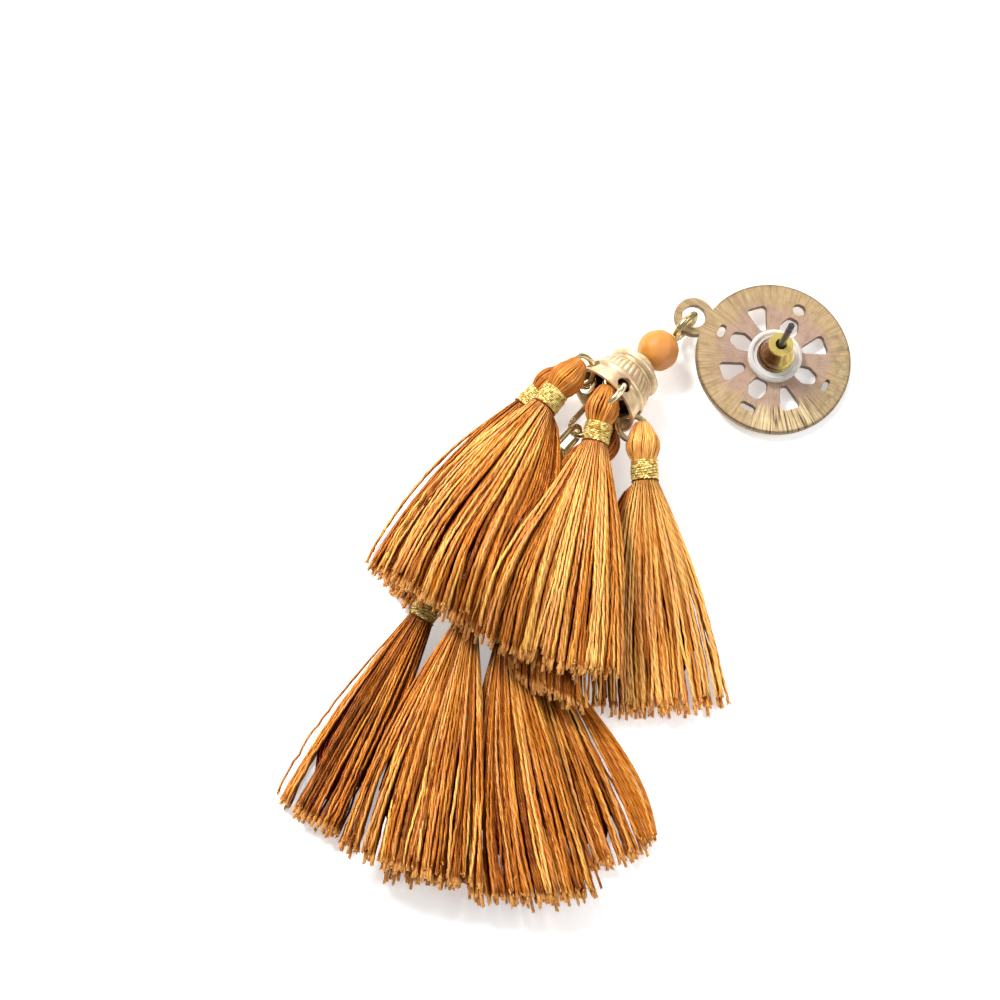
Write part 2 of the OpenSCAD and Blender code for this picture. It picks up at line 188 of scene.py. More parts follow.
@dataclass
class Skin:
    """Points, four-sided and many-sided faces, strand coordinates and values of one mesh."""

    points: list[Array] = field(default_factory=list)
    quads: list[Array] = field(default_factory=list)
    quad_uvs: list[Array] = field(default_factory=list)
    ends: list[Array] = field(default_factory=list)
    tone: list[Array] = field(default_factory=list)
    run: list[Array] = field(default_factory=list)
    count: int = 0

    def wrap(
        self, rings: Array, across: float, along: Array, tone: Array, run: Array, close: Close
    ) -> None:
        """Adds a skin over rows of rings.

        Args:
            rings: Points of n rows of m rings, shape (n, m, sides, 3), in metres.
            across: Strand coordinate once round a ring.
            along: Strand coordinate at each ring, shape (n, m).
            tone: Shade of the points, of a shape that spreads over (n, m, sides).
            run: Share of the way along, shape (n, m).
            close: What closes each row.
        """
        n, m, sides = rings.shape[:3]
        k = np.arange(sides)
        j = (k + 1) % sides
        first = self.count + np.arange(n)[:, None] * m * sides
        last = first + (m - 1) * sides
        i = first[:, :, None] + np.arange(m - 1)[:, None] * sides
        quads = np.stack([i + k, i + j, i + sides + j, i + sides + k], axis=-1)
        u0, v0, v1 = k * across / sides, along[:, :-1, None], along[:, 1:, None]
        u1 = u0 + across / sides
        pairs = ((u0, v0), (u1, v0), (u1, v1), (u0, v1))
        corners = [np.stack(np.broadcast_arrays(u, v), -1) for u, v in pairs]
        self.points.append(rings.reshape(-1, 3))
        self.quads.append(quads.reshape(-1, 4))
        self.quad_uvs.append(np.stack(corners, axis=-2).reshape(-1, 2))
        if close is Close.ENDS:
            self.ends += [first + k[::-1], last + k]
        elif close is Close.LOOP:
            self.quads.append(np.stack([last + k, last + j, first + j, first + k], -1).reshape(-1, 4))
            self.quad_uvs.append(np.zeros((n * sides * 4, 2)))
        self.tone.append(np.broadcast_to(tone, (n, m, sides)).reshape(-1))
        self.run.append(np.repeat(run.reshape(-1), sides))
        self.count += n * m * sides

    def sweep(
        self,
        paths: Array,
        radii: Array,
        tone: Array,
        run: Array,
        sides: int = 6,
        close: Close = Close.ENDS,
    ) -> None:
        """Adds a round tube along each path.

        Args:
            paths: Points of n paths of m points, shape (n, m, 3), in metres.
            radii: Radius at each point, shape (n, m).
            tone: Shade of each path, shape (n,).
            run: Share of the way along, shape (n, m).
            sides: Sides of a tube.
            close: What closes each tube.
        """
        along = unit(np.gradient(paths, axis=1))
        up = np.zeros_like(paths)
        up[..., 2] = 1.0
        # A steep path takes another reference, so that its rings stay well defined.
        up[np.abs(along[..., 2]) > STEEP] = (0.6, 0.8, 0.0)
        first = unit(up - along * np.sum(up * along, axis=-1, keepdims=True))
        second = np.cross(along, first)
        a = circle(sides)[:, None]
        spokes = np.cos(a) * first[:, :, None, :] + np.sin(a) * second[:, :, None, :]
        step = np.linalg.norm(np.diff(paths, axis=1), axis=-1) / MM
        length = np.concatenate([np.zeros((len(paths), 1)), np.cumsum(step, axis=1)], axis=1)
        rings = paths[:, :, None, :] + radii[:, :, None, None] * spokes
        self.wrap(rings, 1.0, length, tone[:, None, None], run, close)

    def loft(
        self,
        rings: Array,
        tone: Array | float,
        scale: tuple[float, float] = (1.0, 1.0),
        close: Close = Close.ENDS,
    ) -> None:
        """Adds one skin over rings of points.

        Args:
            rings: Rings of points, shape (rows, columns, 3), in metres.
            tone: Shade of the whole skin, or of each point.
            scale: Strand coordinates across and along.
            close: What closes the skin.
        """
        m = len(rings)
        along = np.arange(m) * scale[1] / m
        self.wrap(rings[None], scale[0], along[None], tone, np.linspace(0, 1, m)[None], close)

    def make(self, name: str, material: Material, slot: str, *nodes: str) -> bpy.types.Object:
        """Turns the skin into an object of the scene.

        Args:
            name: Name of the piece.
            material: Its finish.
            slot: Not used.
            nodes: The solids that the piece stands for.

        Returns:
            The new object.
        """
        points = lift(np.concatenate(self.points), FLOOR_GAP)
        quads = np.concatenate(self.quads)
        ends = [row for block in self.ends for row in block]
        loops = np.concatenate([quads.reshape(-1), *ends])
        totals = np.concatenate([np.full(len(quads), 4), np.array([len(e) for e in ends], dtype=int)])
        starts = np.concatenate([[0], np.cumsum(totals)[:-1]])
        mesh = bpy.data.meshes.new(name)
        mesh.vertices.add(len(points))
        mesh.vertices.foreach_set("co", points.reshape(-1))
        mesh.loops.add(len(loops))
        mesh.loops.foreach_set("vertex_index", loops.astype(np.int32))
        mesh.polygons.add(len(totals))
        mesh.polygons.foreach_set("loop_start", starts.astype(np.int32))
        mesh.polygons.foreach_set("loop_total", totals.astype(np.int32))
        mesh.polygons.foreach_set("use_smooth", np.arange(len(totals)) < len(quads))
        mesh.update(calc_edges=True)
        uvs = np.zeros((len(loops), 2))
        uvs[: len(quads) * 4] = np.concatenate(self.quad_uvs)
        mesh.uv_layers.new(name="Strand").data.foreach_set("uv", uvs.reshape(-1))
        for key, parts in (("tone", self.tone), ("run", self.run)):
            mesh.attributes.new(key, "FLOAT", "POINT").data.foreach_set("value", np.concatenate(parts))
        mesh.materials.append(material)
        piece = bpy.data.objects.new(name, mesh)
        bpy.context.scene.collection.objects.link(piece)
        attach(piece, BODY)
        if nodes:
            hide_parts(*nodes)
        mesh.calc_loop_triangles()
        LOG.info("%s: %d triangles", name, len(mesh.loop_triangles))
        return piece


class Graph:
    """Places and joins the nodes of one material, world or group."""

    def __init__(self, tree: NodeTree) -> None:
        """Starts on an empty tree."""
        self.tree = tree
        tree.nodes.clear()

    def put(self, socket: Socket, value: object) -> None:
        """Joins a socket to another one, or sets its value.

        Args:
            socket: The socket.
            value: Another socket, a value, or a colour of three or four values.
        """
        if isinstance(value, bpy.types.NodeSocket):
            self.tree.links.new(value, socket)
        elif socket.type == "RGBA" and len(value) == 3:
            socket.default_value = (*value, 1.0)
        else:
            socket.default_value = value

    def node(self, kind: str, inputs: Values | None = None, **settings: object) -> bpy.types.Node:
        """Adds a node.

        Args:
            kind: Blender's name of the node's type.
            inputs: Values or sockets for its inputs, by name or number.
            settings: Other properties of the node.

        Returns:
            The new node.
        """
        made = self.tree.nodes.new(kind)
        for key, value in settings.items():
            setattr(made, key, value)
        for key, value in (inputs or {}).items():
            self.put(made.inputs[key], value)
        return made

    def math(
        self, operation: str, a: object, b: object = 0.0, c: object = 0.0, clamp: bool = False
    ) -> Socket:
        """Result of a sum on two or three values."""
        inputs = {0: a, 1: b, 2: c}
        return self.node("ShaderNodeMath", inputs, operation=operation, use_clamp=clamp).outputs[0]

    def mul(self, a: object, b: object) -> Socket:
        """Product of two values."""
        return self.math("MULTIPLY", a, b)

    def add(self, a: object, b: object) -> Socket:
        """Sum of two values."""
        return self.math("ADD", a, b)

    def most(self, a: object, b: object) -> Socket:
        """The greater of two values."""
        return self.math("MAXIMUM", a, b)

    def mix(self, share: object, under: object, over: object) -> Socket:
        """Colour that goes from one to another with a share."""
        return self.node("ShaderNodeMix", {0: share, 6: under, 7: over}, data_type="RGBA").outputs[2]

    def coats(self, colour: object, *coats: tuple[object, object]) -> Socket:
        """Lays colours over one another.

        Args:
            colour: The lowest colour.
            coats: Share and colour of each coat, from the lowest up.

        Returns:
            The colour that shows.
        """
        for share, over in coats:
            colour = self.mix(share, colour, over)
        return colour

    def remap(self, value: Socket, low: float, high: float, start: float = 0.0, end: float = 1.0) -> Socket:
        """A value that goes smoothly from start to end while the given one goes from low to high."""
        inputs = {0: value, 1: low, 2: high, 3: start, 4: end}
        return self.node("ShaderNodeMapRange", inputs, interpolation_type="SMOOTHSTEP").outputs[0]

    def noise(self, where: Socket, scale: object, detail: float = 2.0, roughness: float = 0.5) -> Socket:
        """Soft noise from 0 to 1."""
        inputs = {"Vector": where, "Scale": scale, "Detail": detail, "Roughness": roughness}
        return self.node("ShaderNodeTexNoise", inputs).outputs[0]

    def point(self, x: object, y: object, z: object = 0.0) -> Socket:
        """A vector of three values."""
        return self.node("ShaderNodeCombineXYZ", {0: x, 1: y, 2: z}).outputs[0]

    def value_of(self, name: str) -> Socket:
        """A value that is kept in the mesh."""
        return self.node("ShaderNodeAttribute", attribute_name=name).outputs["Fac"]

    def millimetres(self) -> Socket:
        """Place on the object, in millimetres."""
        where = self.node("ShaderNodeTexCoord").outputs["Object"]
        return self.node("ShaderNodeVectorMath", {0: where, "Scale": 1 / MM}, operation="SCALE").outputs[0]

    def group(self, tree: NodeTree, inputs: Values) -> tuple[Socket, ...]:
        """Places a node group.

        Args:
            tree: The group.
            inputs: Its values or sockets, by the inputs' names.

        Returns:
            Its output sockets.
        """
        made = self.node("ShaderNodeGroup", node_tree=tree)
        for key, value in inputs.items():
            self.put(made.inputs[key], value)
        return tuple(made.outputs)

    def bump(self, height: Socket, strength: float, distance: float) -> Socket:
        """Normal of a height in the surface; the distance is in millimetres."""
        inputs = {"Height": height, "Strength": strength, "Distance": distance * MM}
        return self.node("ShaderNodeBump", inputs).outputs[0]


class Effects:
    """The shader groups that more than one finish uses, each built at its first use."""

    def worn(
        self, g: Graph, where: Socket, metal: object, tarnish: Colour, size: float, amount: float
    ) -> tuple[Socket, ...]:
        """Colour of a tarnished metal, and how dull it is."""
        inputs = {"Place": where, "Metal": metal, "Tarnish": tarnish, "Size": size, "Amount": amount}
        return g.group(self.patina, inputs)

    def lines(
        self, g: Graph, across: Socket, along: Socket, fineness: float, length: float
    ) -> tuple[Socket, ...]:
        """Height of fine lines, and a mask of the lines."""
        inputs = {"Across": across, "Along": along, "Fineness": fineness, "Length": length}
        return g.group(self.scratches, inputs)

    @staticmethod
    def _new(name: str, inputs: Values, outputs: tuple[str, ...]) -> tuple[Graph, object, object]:
        """Starts a group.

        Args:
            name: Name of the group.
            inputs: Default value of each input: a number, a vector or a colour of four values.
            outputs: Names of the outputs; one that ends in "Colour" is a colour.

        Returns:
            The group's graph, its input sockets and its output sockets.
        """
        tree = bpy.data.node_groups.new(name, "ShaderNodeTree")
        for key, value in inputs.items():
            kind = "Float" if isinstance(value, (int, float)) else ("Color" if len(value) == 4 else "Vector")
            made = tree.interface.new_socket(key, in_out="INPUT", socket_type=f"NodeSocket{kind}")
            made.default_value = value
        for key in outputs:
            kind = "Color" if key.endswith("Colour") else "Float"
            tree.interface.new_socket(key, in_out="OUTPUT", socket_type=f"NodeSocket{kind}")
        graph = Graph(tree)
        return graph, graph.node("NodeGroupInput").outputs, graph.node("NodeGroupOutput").inputs

    @cached_property
    def turned(self) -> NodeTree:
        """Radius, angle and height round an axis, in millimetres and radians.

        Returns:
            The group.
        """
        inputs = {"Place": (0.0, 0.0, 0.0), "Centre": (0.0, 0.0, 0.0), "Turn": (0.0, 0.0, 0.0)}
        g, i, o = self._new("Turned coordinates", inputs, ("Radius", "Angle", "Height"))
        inputs = {0: i["Place"], 1: i["Centre"], 2: i["Turn"]}
        local = g.node("ShaderNodeMapping", inputs, vector_type="TEXTURE").outputs[0]
        x, y, z = g.node("ShaderNodeSeparateXYZ", {0: local}).outputs
        g.put(o["Radius"], g.math("SQRT", g.add(g.mul(x, x), g.mul(y, y))))
        g.put(o["Angle"], g.math("ARCTAN2", y, x))
        g.put(o["Height"], z)
        return g.tree

    @cached_property
    def ply(self) -> NodeTree:
        """Twisted plies of a thread, with fine fibres: height, and a mask of the grooves between the plies.

        Returns:
            The group.
        """
        inputs = {"Around": 0.0, "Along": 0.0, "Plies": 2.0, "Pitch": 1.5, "Fibre": 0.3}
        g, i, o = self._new("Twisted ply", inputs, ("Height", "Groove"))
        phase = g.add(g.mul(i["Around"], i["Plies"]), g.math("DIVIDE", i["Along"], i["Pitch"]))
        lobe = g.math("POWER", g.math("ABSOLUTE", g.math("SINE", g.mul(phase, math.pi))), 0.6)
        fibres = g.noise(g.point(g.mul(phase, 9.0), g.mul(i["Along"], 0.6)), 1.0, 2.0)
        g.put(o["Height"], g.add(lobe, g.mul(fibres, i["Fibre"])))
        g.put(o["Groove"], g.math("SUBTRACT", 1.0, lobe, clamp=True))
        return g.tree

    @cached_property
    def patina(self) -> NodeTree:
        """Soft clouds and small spots of tarnish over a metal's colour.

        Returns:
            The group.
        """
        colours = {"Metal": (0.8, 0.7, 0.5, 1.0), "Tarnish": (0.2, 0.15, 0.08, 1.0)}
        inputs = {"Place": (0.0, 0.0, 0.0), **colours, "Size": 1.0, "Amount": 0.5}
        g, i, o = self._new("Patina", inputs, ("Metal Colour", "Dull"))
        scale = g.math("DIVIDE", 1.0, i["Size"])
        clouds = g.remap(g.noise(i["Place"], scale, 4.0, 0.6), 0.42, 0.72)
        spots = g.remap(g.noise(i["Place"], g.mul(scale, 5.0), 2.0), 0.62, 0.74)
        dull = g.mul(g.most(clouds, g.mul(spots, 0.7)), i["Amount"])
        g.put(o["Metal Colour"], g.mix(dull, i["Metal"], i["Tarnish"]))
        g.put(o["Dull"], dull)
        return g.tree

    @cached_property
    def scratches(self) -> NodeTree:
        """Fine long scratches in one direction over two coordinates.

        Returns:
            The group.
        """
        inputs = {"Across": 0.0, "Along": 0.0, "Fineness": 8.0, "Length": 3.0}
        g, i, o = self._new("Fine lines", inputs, ("Height", "Line"))
        where = g.point(g.mul(i["Across"], i["Fineness"]), g.math("DIVIDE", i["Along"], i["Length"]))
        lines = g.noise(where, 1.0, 3.0, 0.65)
        g.put(o["Height"], lines)
        g.put(o["Line"], g.remap(lines, 0.35, 0.7))
        return g.tree


EFFECTS = Effects()


@dataclass(frozen=True)
class Lay:
    """Place and direction of a turned piece: its axis is the local Z."""

    centre: Array
    axis: Array
    heading: float

    def rotation(self) -> Euler:
        """Rotation that turns Z into the axis, with X level and to the right of the heading.

        Returns:
            The rotation.
        """
        z = Vector(self.axis)
        x = Vector(side(self.heading))
        x = (x - z * x.dot(z)).normalized()
        return Matrix((x, z.cross(x), z)).transposed().to_euler()

    def matrix(self) -> Matrix:
        """Place and rotation in one."""
        return Matrix.Translation(Vector(self.centre)) @ self.rotation().to_matrix().to_4x4()

    def carry(self, points: Array) -> Array:
        """Points of the turned piece, moved to where it lies, in metres."""
        matrix = np.array(self.matrix())
        return points @ matrix[:3, :3].T + matrix[:3, 3]

    def coordinates(self, g: Graph) -> tuple[Socket, ...]:
        """Radius, angle and height round the axis, as sockets of a graph."""
        inputs = {"Place": g.millimetres(), "Centre": tuple(self.centre / MM), "Turn": tuple(self.rotation())}
        return g.group(EFFECTS.turned, inputs)

    def towards(self, g: Graph, angle: Socket, photo_angle: float) -> Socket:
        """How far a point round the axis lies towards a direction of the photograph.

        Args:
            g: The graph.
            angle: The point's angle round the axis.
            photo_angle: The direction in the photograph, in degrees from its right.

        Returns:
            Share from -1, away from it, to 1.
        """
        a = math.radians(photo_angle)
        local = self.rotation().to_matrix().inverted() @ Vector(photo_way(math.cos(a), math.sin(a)))
        return g.math("COSINE", g.math("SUBTRACT", angle, math.atan2(local.y, local.x)))


class Finish(ABC):
    """A material of the scene."""

    name: str

    @abstractmethod
    def values(self, g: Graph) -> Values:
        """Values or sockets of the shader's inputs."""

    def build(self) -> Material:
        """Builds the material.

        Returns:
            The material.
        """
        made = bpy.data.materials.new(self.name)
        made.use_nodes = True
        g = Graph(made.node_tree)
        shader = g.node("ShaderNodeBsdfPrincipled", self.values(g))
        g.node("ShaderNodeOutputMaterial", {"Surface": shader.outputs[0]})
        return made


@dataclass(frozen=True)
class GiltWire(Finish):
    """Polished gilt wire with a little tarnish."""

    name: str
    metal: Colour
    tarnish: Colour
    roughness: float
    amount: float

    def values(self, g: Graph) -> Values:
        """Values or sockets of the shader's inputs.

        Args:
            g: The material's graph.

        Returns:
            The values, by the inputs' names.
        """
        where = g.millimetres()
        colour, dull = EFFECTS.worn(g, where, self.metal, self.tarnish, 1.6, self.amount)
        return {
            "Base Color": colour,
            "Metallic": 1.0,
            "Roughness": g.math("MULTIPLY_ADD", dull, 0.35, self.roughness),
            "Normal": g.bump(g.noise(where, 9.0, 3.0), 0.25, 0.02),
        }


@dataclass(frozen=True)
class DiscGilt(Finish):
    """Back of the pierced disc: brushed outwards, with painted highlight and painted shade on its lines,
    pinkish inside, stained at one side, with painted shade on its rim and walls; its post is steel.
    """

    lay: Lay
    thickness: float
    name: str = "Disc gilt"
    brushed_side: float = -80.0
    stained_side: float = -14.0
    lug_side: float = 152.0
    tan: Colour = rgb(174, 145, 108)
    pink: Colour = rgb(170, 140, 126)
    bright: Colour = rgb(228, 206, 164)
    tarnish_and_shade: Colour = rgb(66, 50, 32)
    stain: Colour = rgb(100, 98, 72)
    steel: Colour = rgb(66, 62, 58)

    def values(self, g: Graph) -> Values:
        """Values or sockets of the shader's inputs.

        Args:
            g: The material's graph.

        Returns:
            The values, by the inputs' names.
        """
        radius, angle, height = self.lay.coordinates(g)
        where = g.millimetres()
        coarse, streaks = EFFECTS.lines(g, angle, radius, 34.0, 5.0)
        fine, hairs = EFFECTS.lines(g, angle, radius, 90.0, 2.5)
        inner = g.remap(g.add(radius, g.mul(g.noise(where, 0.35, 3.0), 3.0)), 7.2, 9.4, 1.0, 0.0)
        # The coarse brushing is strongest at the outer edge of one side; there its lines are painted lighter
        # and darker, as painted highlight and painted shade.
        sector = g.remap(self.lay.towards(g, angle, self.brushed_side), 0.72, 0.97)
        weak = g.mul(g.remap(radius, 5.5, 8.5), 0.25)
        brushed = g.most(g.mul(sector, g.remap(radius, 5.4, 7.2)), weak)
        dark = g.mul(g.remap(coarse, 0.5, 0.36), g.mul(brushed, 0.85))
        # Grey-green stains lie at the right edge.
        edge = g.remap(self.lay.towards(g, angle, self.stained_side), 0.55, 0.98)
        blots = g.remap(g.noise(where, 0.9, 2.5, 0.55), 0.38, 0.66)
        stained = g.mul(g.mul(edge, g.remap(radius, 5.8, 8.8)), blots)
        # Fine lines are painted lighter all over, as painted highlight; the coarse lines add painted
        # highlight and painted shade.
        colour = g.coats(
            self.tan,
            (inner, self.pink),
            (g.mul(hairs, 0.3), self.bright),
            (g.mul(streaks, brushed), self.bright),
            (dark, self.tarnish_and_shade),
            (g.mul(stained, 0.65), self.stain),
        )
        colour, _ = EFFECTS.worn(g, where, colour, self.tarnish_and_shade, 1.3, 0.22)
        # Painted shade: the rim and the walls of the disc and of its holes are darker.
        facing = {0: g.node("ShaderNodeNewGeometry").outputs["Normal"], 1: tuple(self.lay.axis)}
        facing = g.node("ShaderNodeVectorMath", facing, operation="DOT_PRODUCT").outputs[1]
        wall = g.remap(g.math("ABSOLUTE", facing), 0.35, 0.8, 0.62, 0.0)
        plain = g.remap(self.lay.towards(g, angle, self.lug_side), 0.94, 0.97, 1.0, 0.0)
        rim = g.mul(g.remap(radius, 9.1, 9.42, 0.0, 0.5), plain)
        post = g.mul(g.remap(height, self.thickness + 0.15, self.thickness + 0.3), g.remap(radius, 1.3, 1.1))
        relief = g.add(g.mul(coarse, brushed), g.mul(fine, 0.25))
        return {
            "Base Color": g.coats(colour, (g.most(wall, rim), self.tarnish_and_shade), (post, self.steel)),
            "Metallic": g.math("MULTIPLY_ADD", post, -0.8, 0.8),
            "Roughness": g.add(g.math("MULTIPLY_ADD", post, -0.2, 0.46), g.mul(stained, 0.2)),
            "Specular IOR Level": 0.18,
            "Normal": g.bump(g.mul(relief, g.math("SUBTRACT", 1.0, post)), 0.7, 0.09),
        }


@dataclass(frozen=True)
class GiltWithPaintedReflection(Finish):
    """Clutch tube: polished gold, painted orange-brown on one side below its top, as a painted reflection."""

    lay: Lay
    name: str = "Gilt with painted reflection"
    reflection_side: float = -165.96
    gold: Colour = rgb(255, 232, 132)
    reflection_amber: Colour = rgb(112, 70, 18)
    streak: Colour = rgb(120, 60, 14)

    def values(self, g: Graph) -> Values:
        """Values or sockets of the shader's inputs.

        Args:
            g: The material's graph.

        Returns:
            The values, by the inputs' names.
        """
        _, angle, height = self.lay.coordinates(g)
        # Painted reflection: one side of the tube, below its top, is painted orange-brown.
        sided = g.remap(self.lay.towards(g, angle, self.reflection_side), -0.5, 0.7)
        dark = g.mul(sided, g.remap(height, 6.15, 5.7))
        relief, line = EFFECTS.lines(g, height, angle, 7.0, 4.0)
        return {
            "Base Color": g.coats(self.gold, (dark, self.reflection_amber), (g.mul(line, 0.25), self.streak)),
            "Metallic": 0.75,
            "Roughness": g.remap(relief, 0.3, 0.7, 0.16, 0.3),
            "Normal": g.bump(relief, 0.3, 0.03),
        }


@dataclass(frozen=True)
class ClearPlastic(Finish):
    """Moulded clear pad of the clutch."""

    name: str = "Clear plastic"
    tint: Colour = rgb(254, 253, 251)
    cloud: Colour = rgb(240, 236, 232)

    def values(self, g: Graph) -> Values:
        """Values or sockets of the shader's inputs.

        Args:
            g: The material's graph.

        Returns:
            The values, by the inputs' names.
        """
        soft = g.mul(g.noise(g.millimetres(), 1.5, 2.0), 0.3)
        clear = {"IOR": 1.4, "Transmission Weight": 0.58, "Coat Weight": 0.4}
        return {"Base Color": g.mix(soft, self.tint, self.cloud), "Roughness": 0.16, **clear}


@dataclass(frozen=True)
class BeadResin(Finish):
    """Opaque orange-tan resin with a painted pinkish reflection on one side, faint clouds and specks."""

    middle: Array
    name: str = "Bead resin"
    body: Colour = rgb(184, 120, 40)
    pale: Colour = rgb(194, 133, 53)
    pink: Colour = rgb(199, 130, 80)
    speck: Colour = rgb(190, 120, 60)

    def values(self, g: Graph) -> Values:
        """Values or sockets of the shader's inputs.

        Args:
            g: The material's graph.

        Returns:
            The values, by the inputs' names.
        """
        where = g.millimetres()
        # Painted reflection: a pinkish spot to one side of the bead, a little above its middle.
        reflection_spot = Vector(photo_way(0.75, -0.9, 1.2)) + Vector(self.middle / MM)
        ends = {0: where, 1: tuple(reflection_spot)}
        gap = g.node("ShaderNodeVectorMath", ends, operation="DISTANCE").outputs["Value"]
        colour = g.coats(
            self.body,
            (g.remap(g.noise(where, 0.6, 3.0), 0.35, 0.7), self.pale),
            (g.remap(gap, 2.4, 1.0, 0.0, 0.6), self.pink),
            (g.mul(g.remap(g.noise(where, 4.5, 2.0), 0.66, 0.74), 0.25), self.speck),
        )
        return {
            "Base Color": colour,
            "Roughness": 0.5,
            "Specular IOR Level": 0.3,
            "Subsurface Weight": 0.08,
            "Subsurface Radius": (1.2, 0.6, 0.3),
            "Subsurface Scale": 0.0008,
            "Coat Weight": 0.04,
            "Coat Roughness": 0.4,
            "Normal": g.bump(g.noise(where, 1.2, 2.0), 0.15, 0.05),
        }


@dataclass(frozen=True)
class CapGilt(Finish):
    """Pale champagne gilt of a pressed bell cap, duller and darker in its flutes and seams, with painted
    shade inside.
    """

    name: str
    lay: Lay
    metal: Colour = rgb(222, 196, 152)
    blush: Colour = rgb(204, 172, 138)
    grime_and_shade: Colour = rgb(88, 66, 40)
    inside_shade: Colour = rgb(70, 38, 26)

    def values(self, g: Graph) -> Values:
        """Values or sockets of the shader's inputs.

        Args:
            g: The material's graph.

        Returns:
            The values, by the inputs' names.
        """
        where, tone = g.millimetres(), g.value_of("tone")
        _, angle, height = self.lay.coordinates(g)
        # The tone paints the flutes and seams darker; inside the cap, where the tone is near 1, the gilt is
        # painted shade.
        colour = g.coats(
            self.metal,
            (g.remap(g.noise(where, 0.5, 3.0), 0.4, 0.65), self.blush),
            (g.mul(tone, 0.85), self.grime_and_shade),
            (g.remap(tone, 0.92, 0.98), self.inside_shade),
        )
        colour, dull = EFFECTS.worn(g, where, colour, self.grime_and_shade, 1.2, 0.3)
        relief, _ = EFFECTS.lines(g, height, angle, 9.0, 5.0)
        return {
            "Base Color": colour,
            "Metallic": 0.65,
            "Roughness": g.math("MULTIPLY_ADD", dull, 0.3, 0.38),
            "Normal": g.bump(relief, 0.2, 0.03),
        }


class ThreadUse(Enum):
    """Where a thread is used: name, plies, pitch in millimetres and depth of its twist."""

    SKIRT = ("Silky thread", 2.0, 1.5, 0.8)
    HEAD = ("Silky thread in the head", 2.0, 1.9, 0.5)
    BAND = ("Metallic thread", 3.0, 0.55, 0.9)


@dataclass(frozen=True)
class SilkyThread(Finish):
    """Twisted glossy thread: mustard gold, with painted shade in its grooves and towards its roots."""

    use: ThreadUse
    gap_shade: Colour = rgb(74, 20, 8)
    deep: Colour = rgb(104, 42, 4)
    middle: Colour = rgb(196, 112, 28)
    light: Colour = rgb(250, 192, 110)
    yellow: Colour = rgb(250, 194, 96)
    rose: Colour = rgb(240, 160, 104)
    tip: Colour = rgb(255, 186, 104)
    gloss: Colour = rgb(255, 212, 154)
    sheen: Colour = rgb(255, 196, 110)
    gold: Colour = rgb(186, 134, 50)
    painted_glint: Colour = rgb(255, 246, 164)
    gold_groove_shade: Colour = rgb(140, 98, 24)

    @property
    def name(self) -> str:
        """Name of the material."""
        return self.use.value[0]

    def values(self, g: Graph) -> Values:
        """Values or sockets of the shader's inputs.

        Args:
            g: The material's graph.

        Returns:
            The values, by the inputs' names.
        """
        _, plies, pitch, depth = self.use.value
        strand = g.node("ShaderNodeUVMap", uv_map="Strand").outputs[0]
        around, down, _ = g.node("ShaderNodeSeparateXYZ", {0: strand}).outputs
        tone, run = g.value_of("tone"), g.value_of("run")
        # The tone also sets each thread's own place in the noise.
        along = g.add(down, g.mul(tone, 37.0))
        twist = {"Around": around, "Along": along, "Plies": plies, "Pitch": pitch, "Fibre": 0.35}
        relief, groove_shade = g.group(EFFECTS.ply, twist)
        lane = g.mul(tone, 91.0)
        drift = g.noise(g.point(lane, g.mul(along, 0.35)), 1.0, 2.0)
        level = g.add(g.mul(tone, 0.8), g.mul(drift, 0.45))
        hue = g.noise(g.point(lane, g.mul(along, 0.08), 7.0), 1.0, 1.0)
        bright = g.remap(level, 0.35, 0.8)
        # The grooves between the plies are painted darker, as shade.
        colour = g.coats(
            self.deep,
            (g.remap(level, 0.2, 0.62), self.middle),
            (g.remap(level, 0.55, 1.0), self.light),
            (g.mul(bright, g.remap(hue, 0.5, 0.64, 0.0, 0.75)), self.yellow),
            (g.mul(bright, g.remap(hue, 0.46, 0.34, 0.0, 0.6)), self.rose),
            (g.mul(groove_shade, 0.6), self.deep),
        )
        if self.use is ThreadUse.SKIRT:
            # Near the band the roots are painted darker, as shade; the tips are paler.
            tips, roots = g.remap(run, 0.96, 0.985, 0.0, 0.7), g.remap(run, 0.1, 0.0, 0.0, 0.5)
            colour = g.coats(colour, (tips, self.tip), (roots, self.deep))
        values = {
            # Pieces of tone near 0, the body inside each bundle, are painted the colour of the shade between
            # threads.
            "Base Color": g.mix(g.remap(tone, 0.06, 0.03), colour, self.gap_shade),
            "Metallic": g.remap(tone, 0.03, 0.06, 0.95, 0.2),
            "Roughness": 0.36,
            "Specular IOR Level": 0.5,
            "Specular Tint": self.gloss,
            "Sheen Weight": 0.06,
            "Sheen Roughness": 0.4,
            "Sheen Tint": self.sheen,
            "Normal": g.bump(relief, depth, 0.09),
        }
        if self.use is ThreadUse.BAND:
            # Painted glints: bright spots from noise on the metallic band; its grooves get painted shade.
            glint = g.remap(g.noise(g.millimetres(), 2.6, 2.0), 0.38, 0.6)
            # Low tones, the filling and the tie, take the deep colour; on the filling it is painted shade.
            filling_shade_and_tie = g.remap(tone, 0.3, 0.1)
            gold = ((glint, self.painted_glint), (g.mul(groove_shade, 0.5), self.gold_groove_shade), (filling_shade_and_tie, self.deep))
            rough = g.remap(glint, 0.0, 1.0, 0.45, 0.24)
            values |= {"Base Color": g.coats(self.gold, *gold), "Roughness": rough}
            values |= {"Metallic": 0.5, "Sheen Weight": 0.0}
        return values


@dataclass(frozen=True)
class PaleFloor(Finish):
    """Matt white surface that glows a little, as the photograph's background does."""

    name: str = "Pale floor"
    white: Colour = (0.86, 0.86, 0.855)
    glow: float = 0.4

    def values(self, g: Graph) -> Values:
        """Values of the shader's inputs."""
        glow = {"Emission Color": (1.0, 1.0, 1.0), "Emission Strength": self.glow}
        return {"Base Color": self.white, "Roughness": 0.75, "Specular IOR Level": 0.2, **glow}


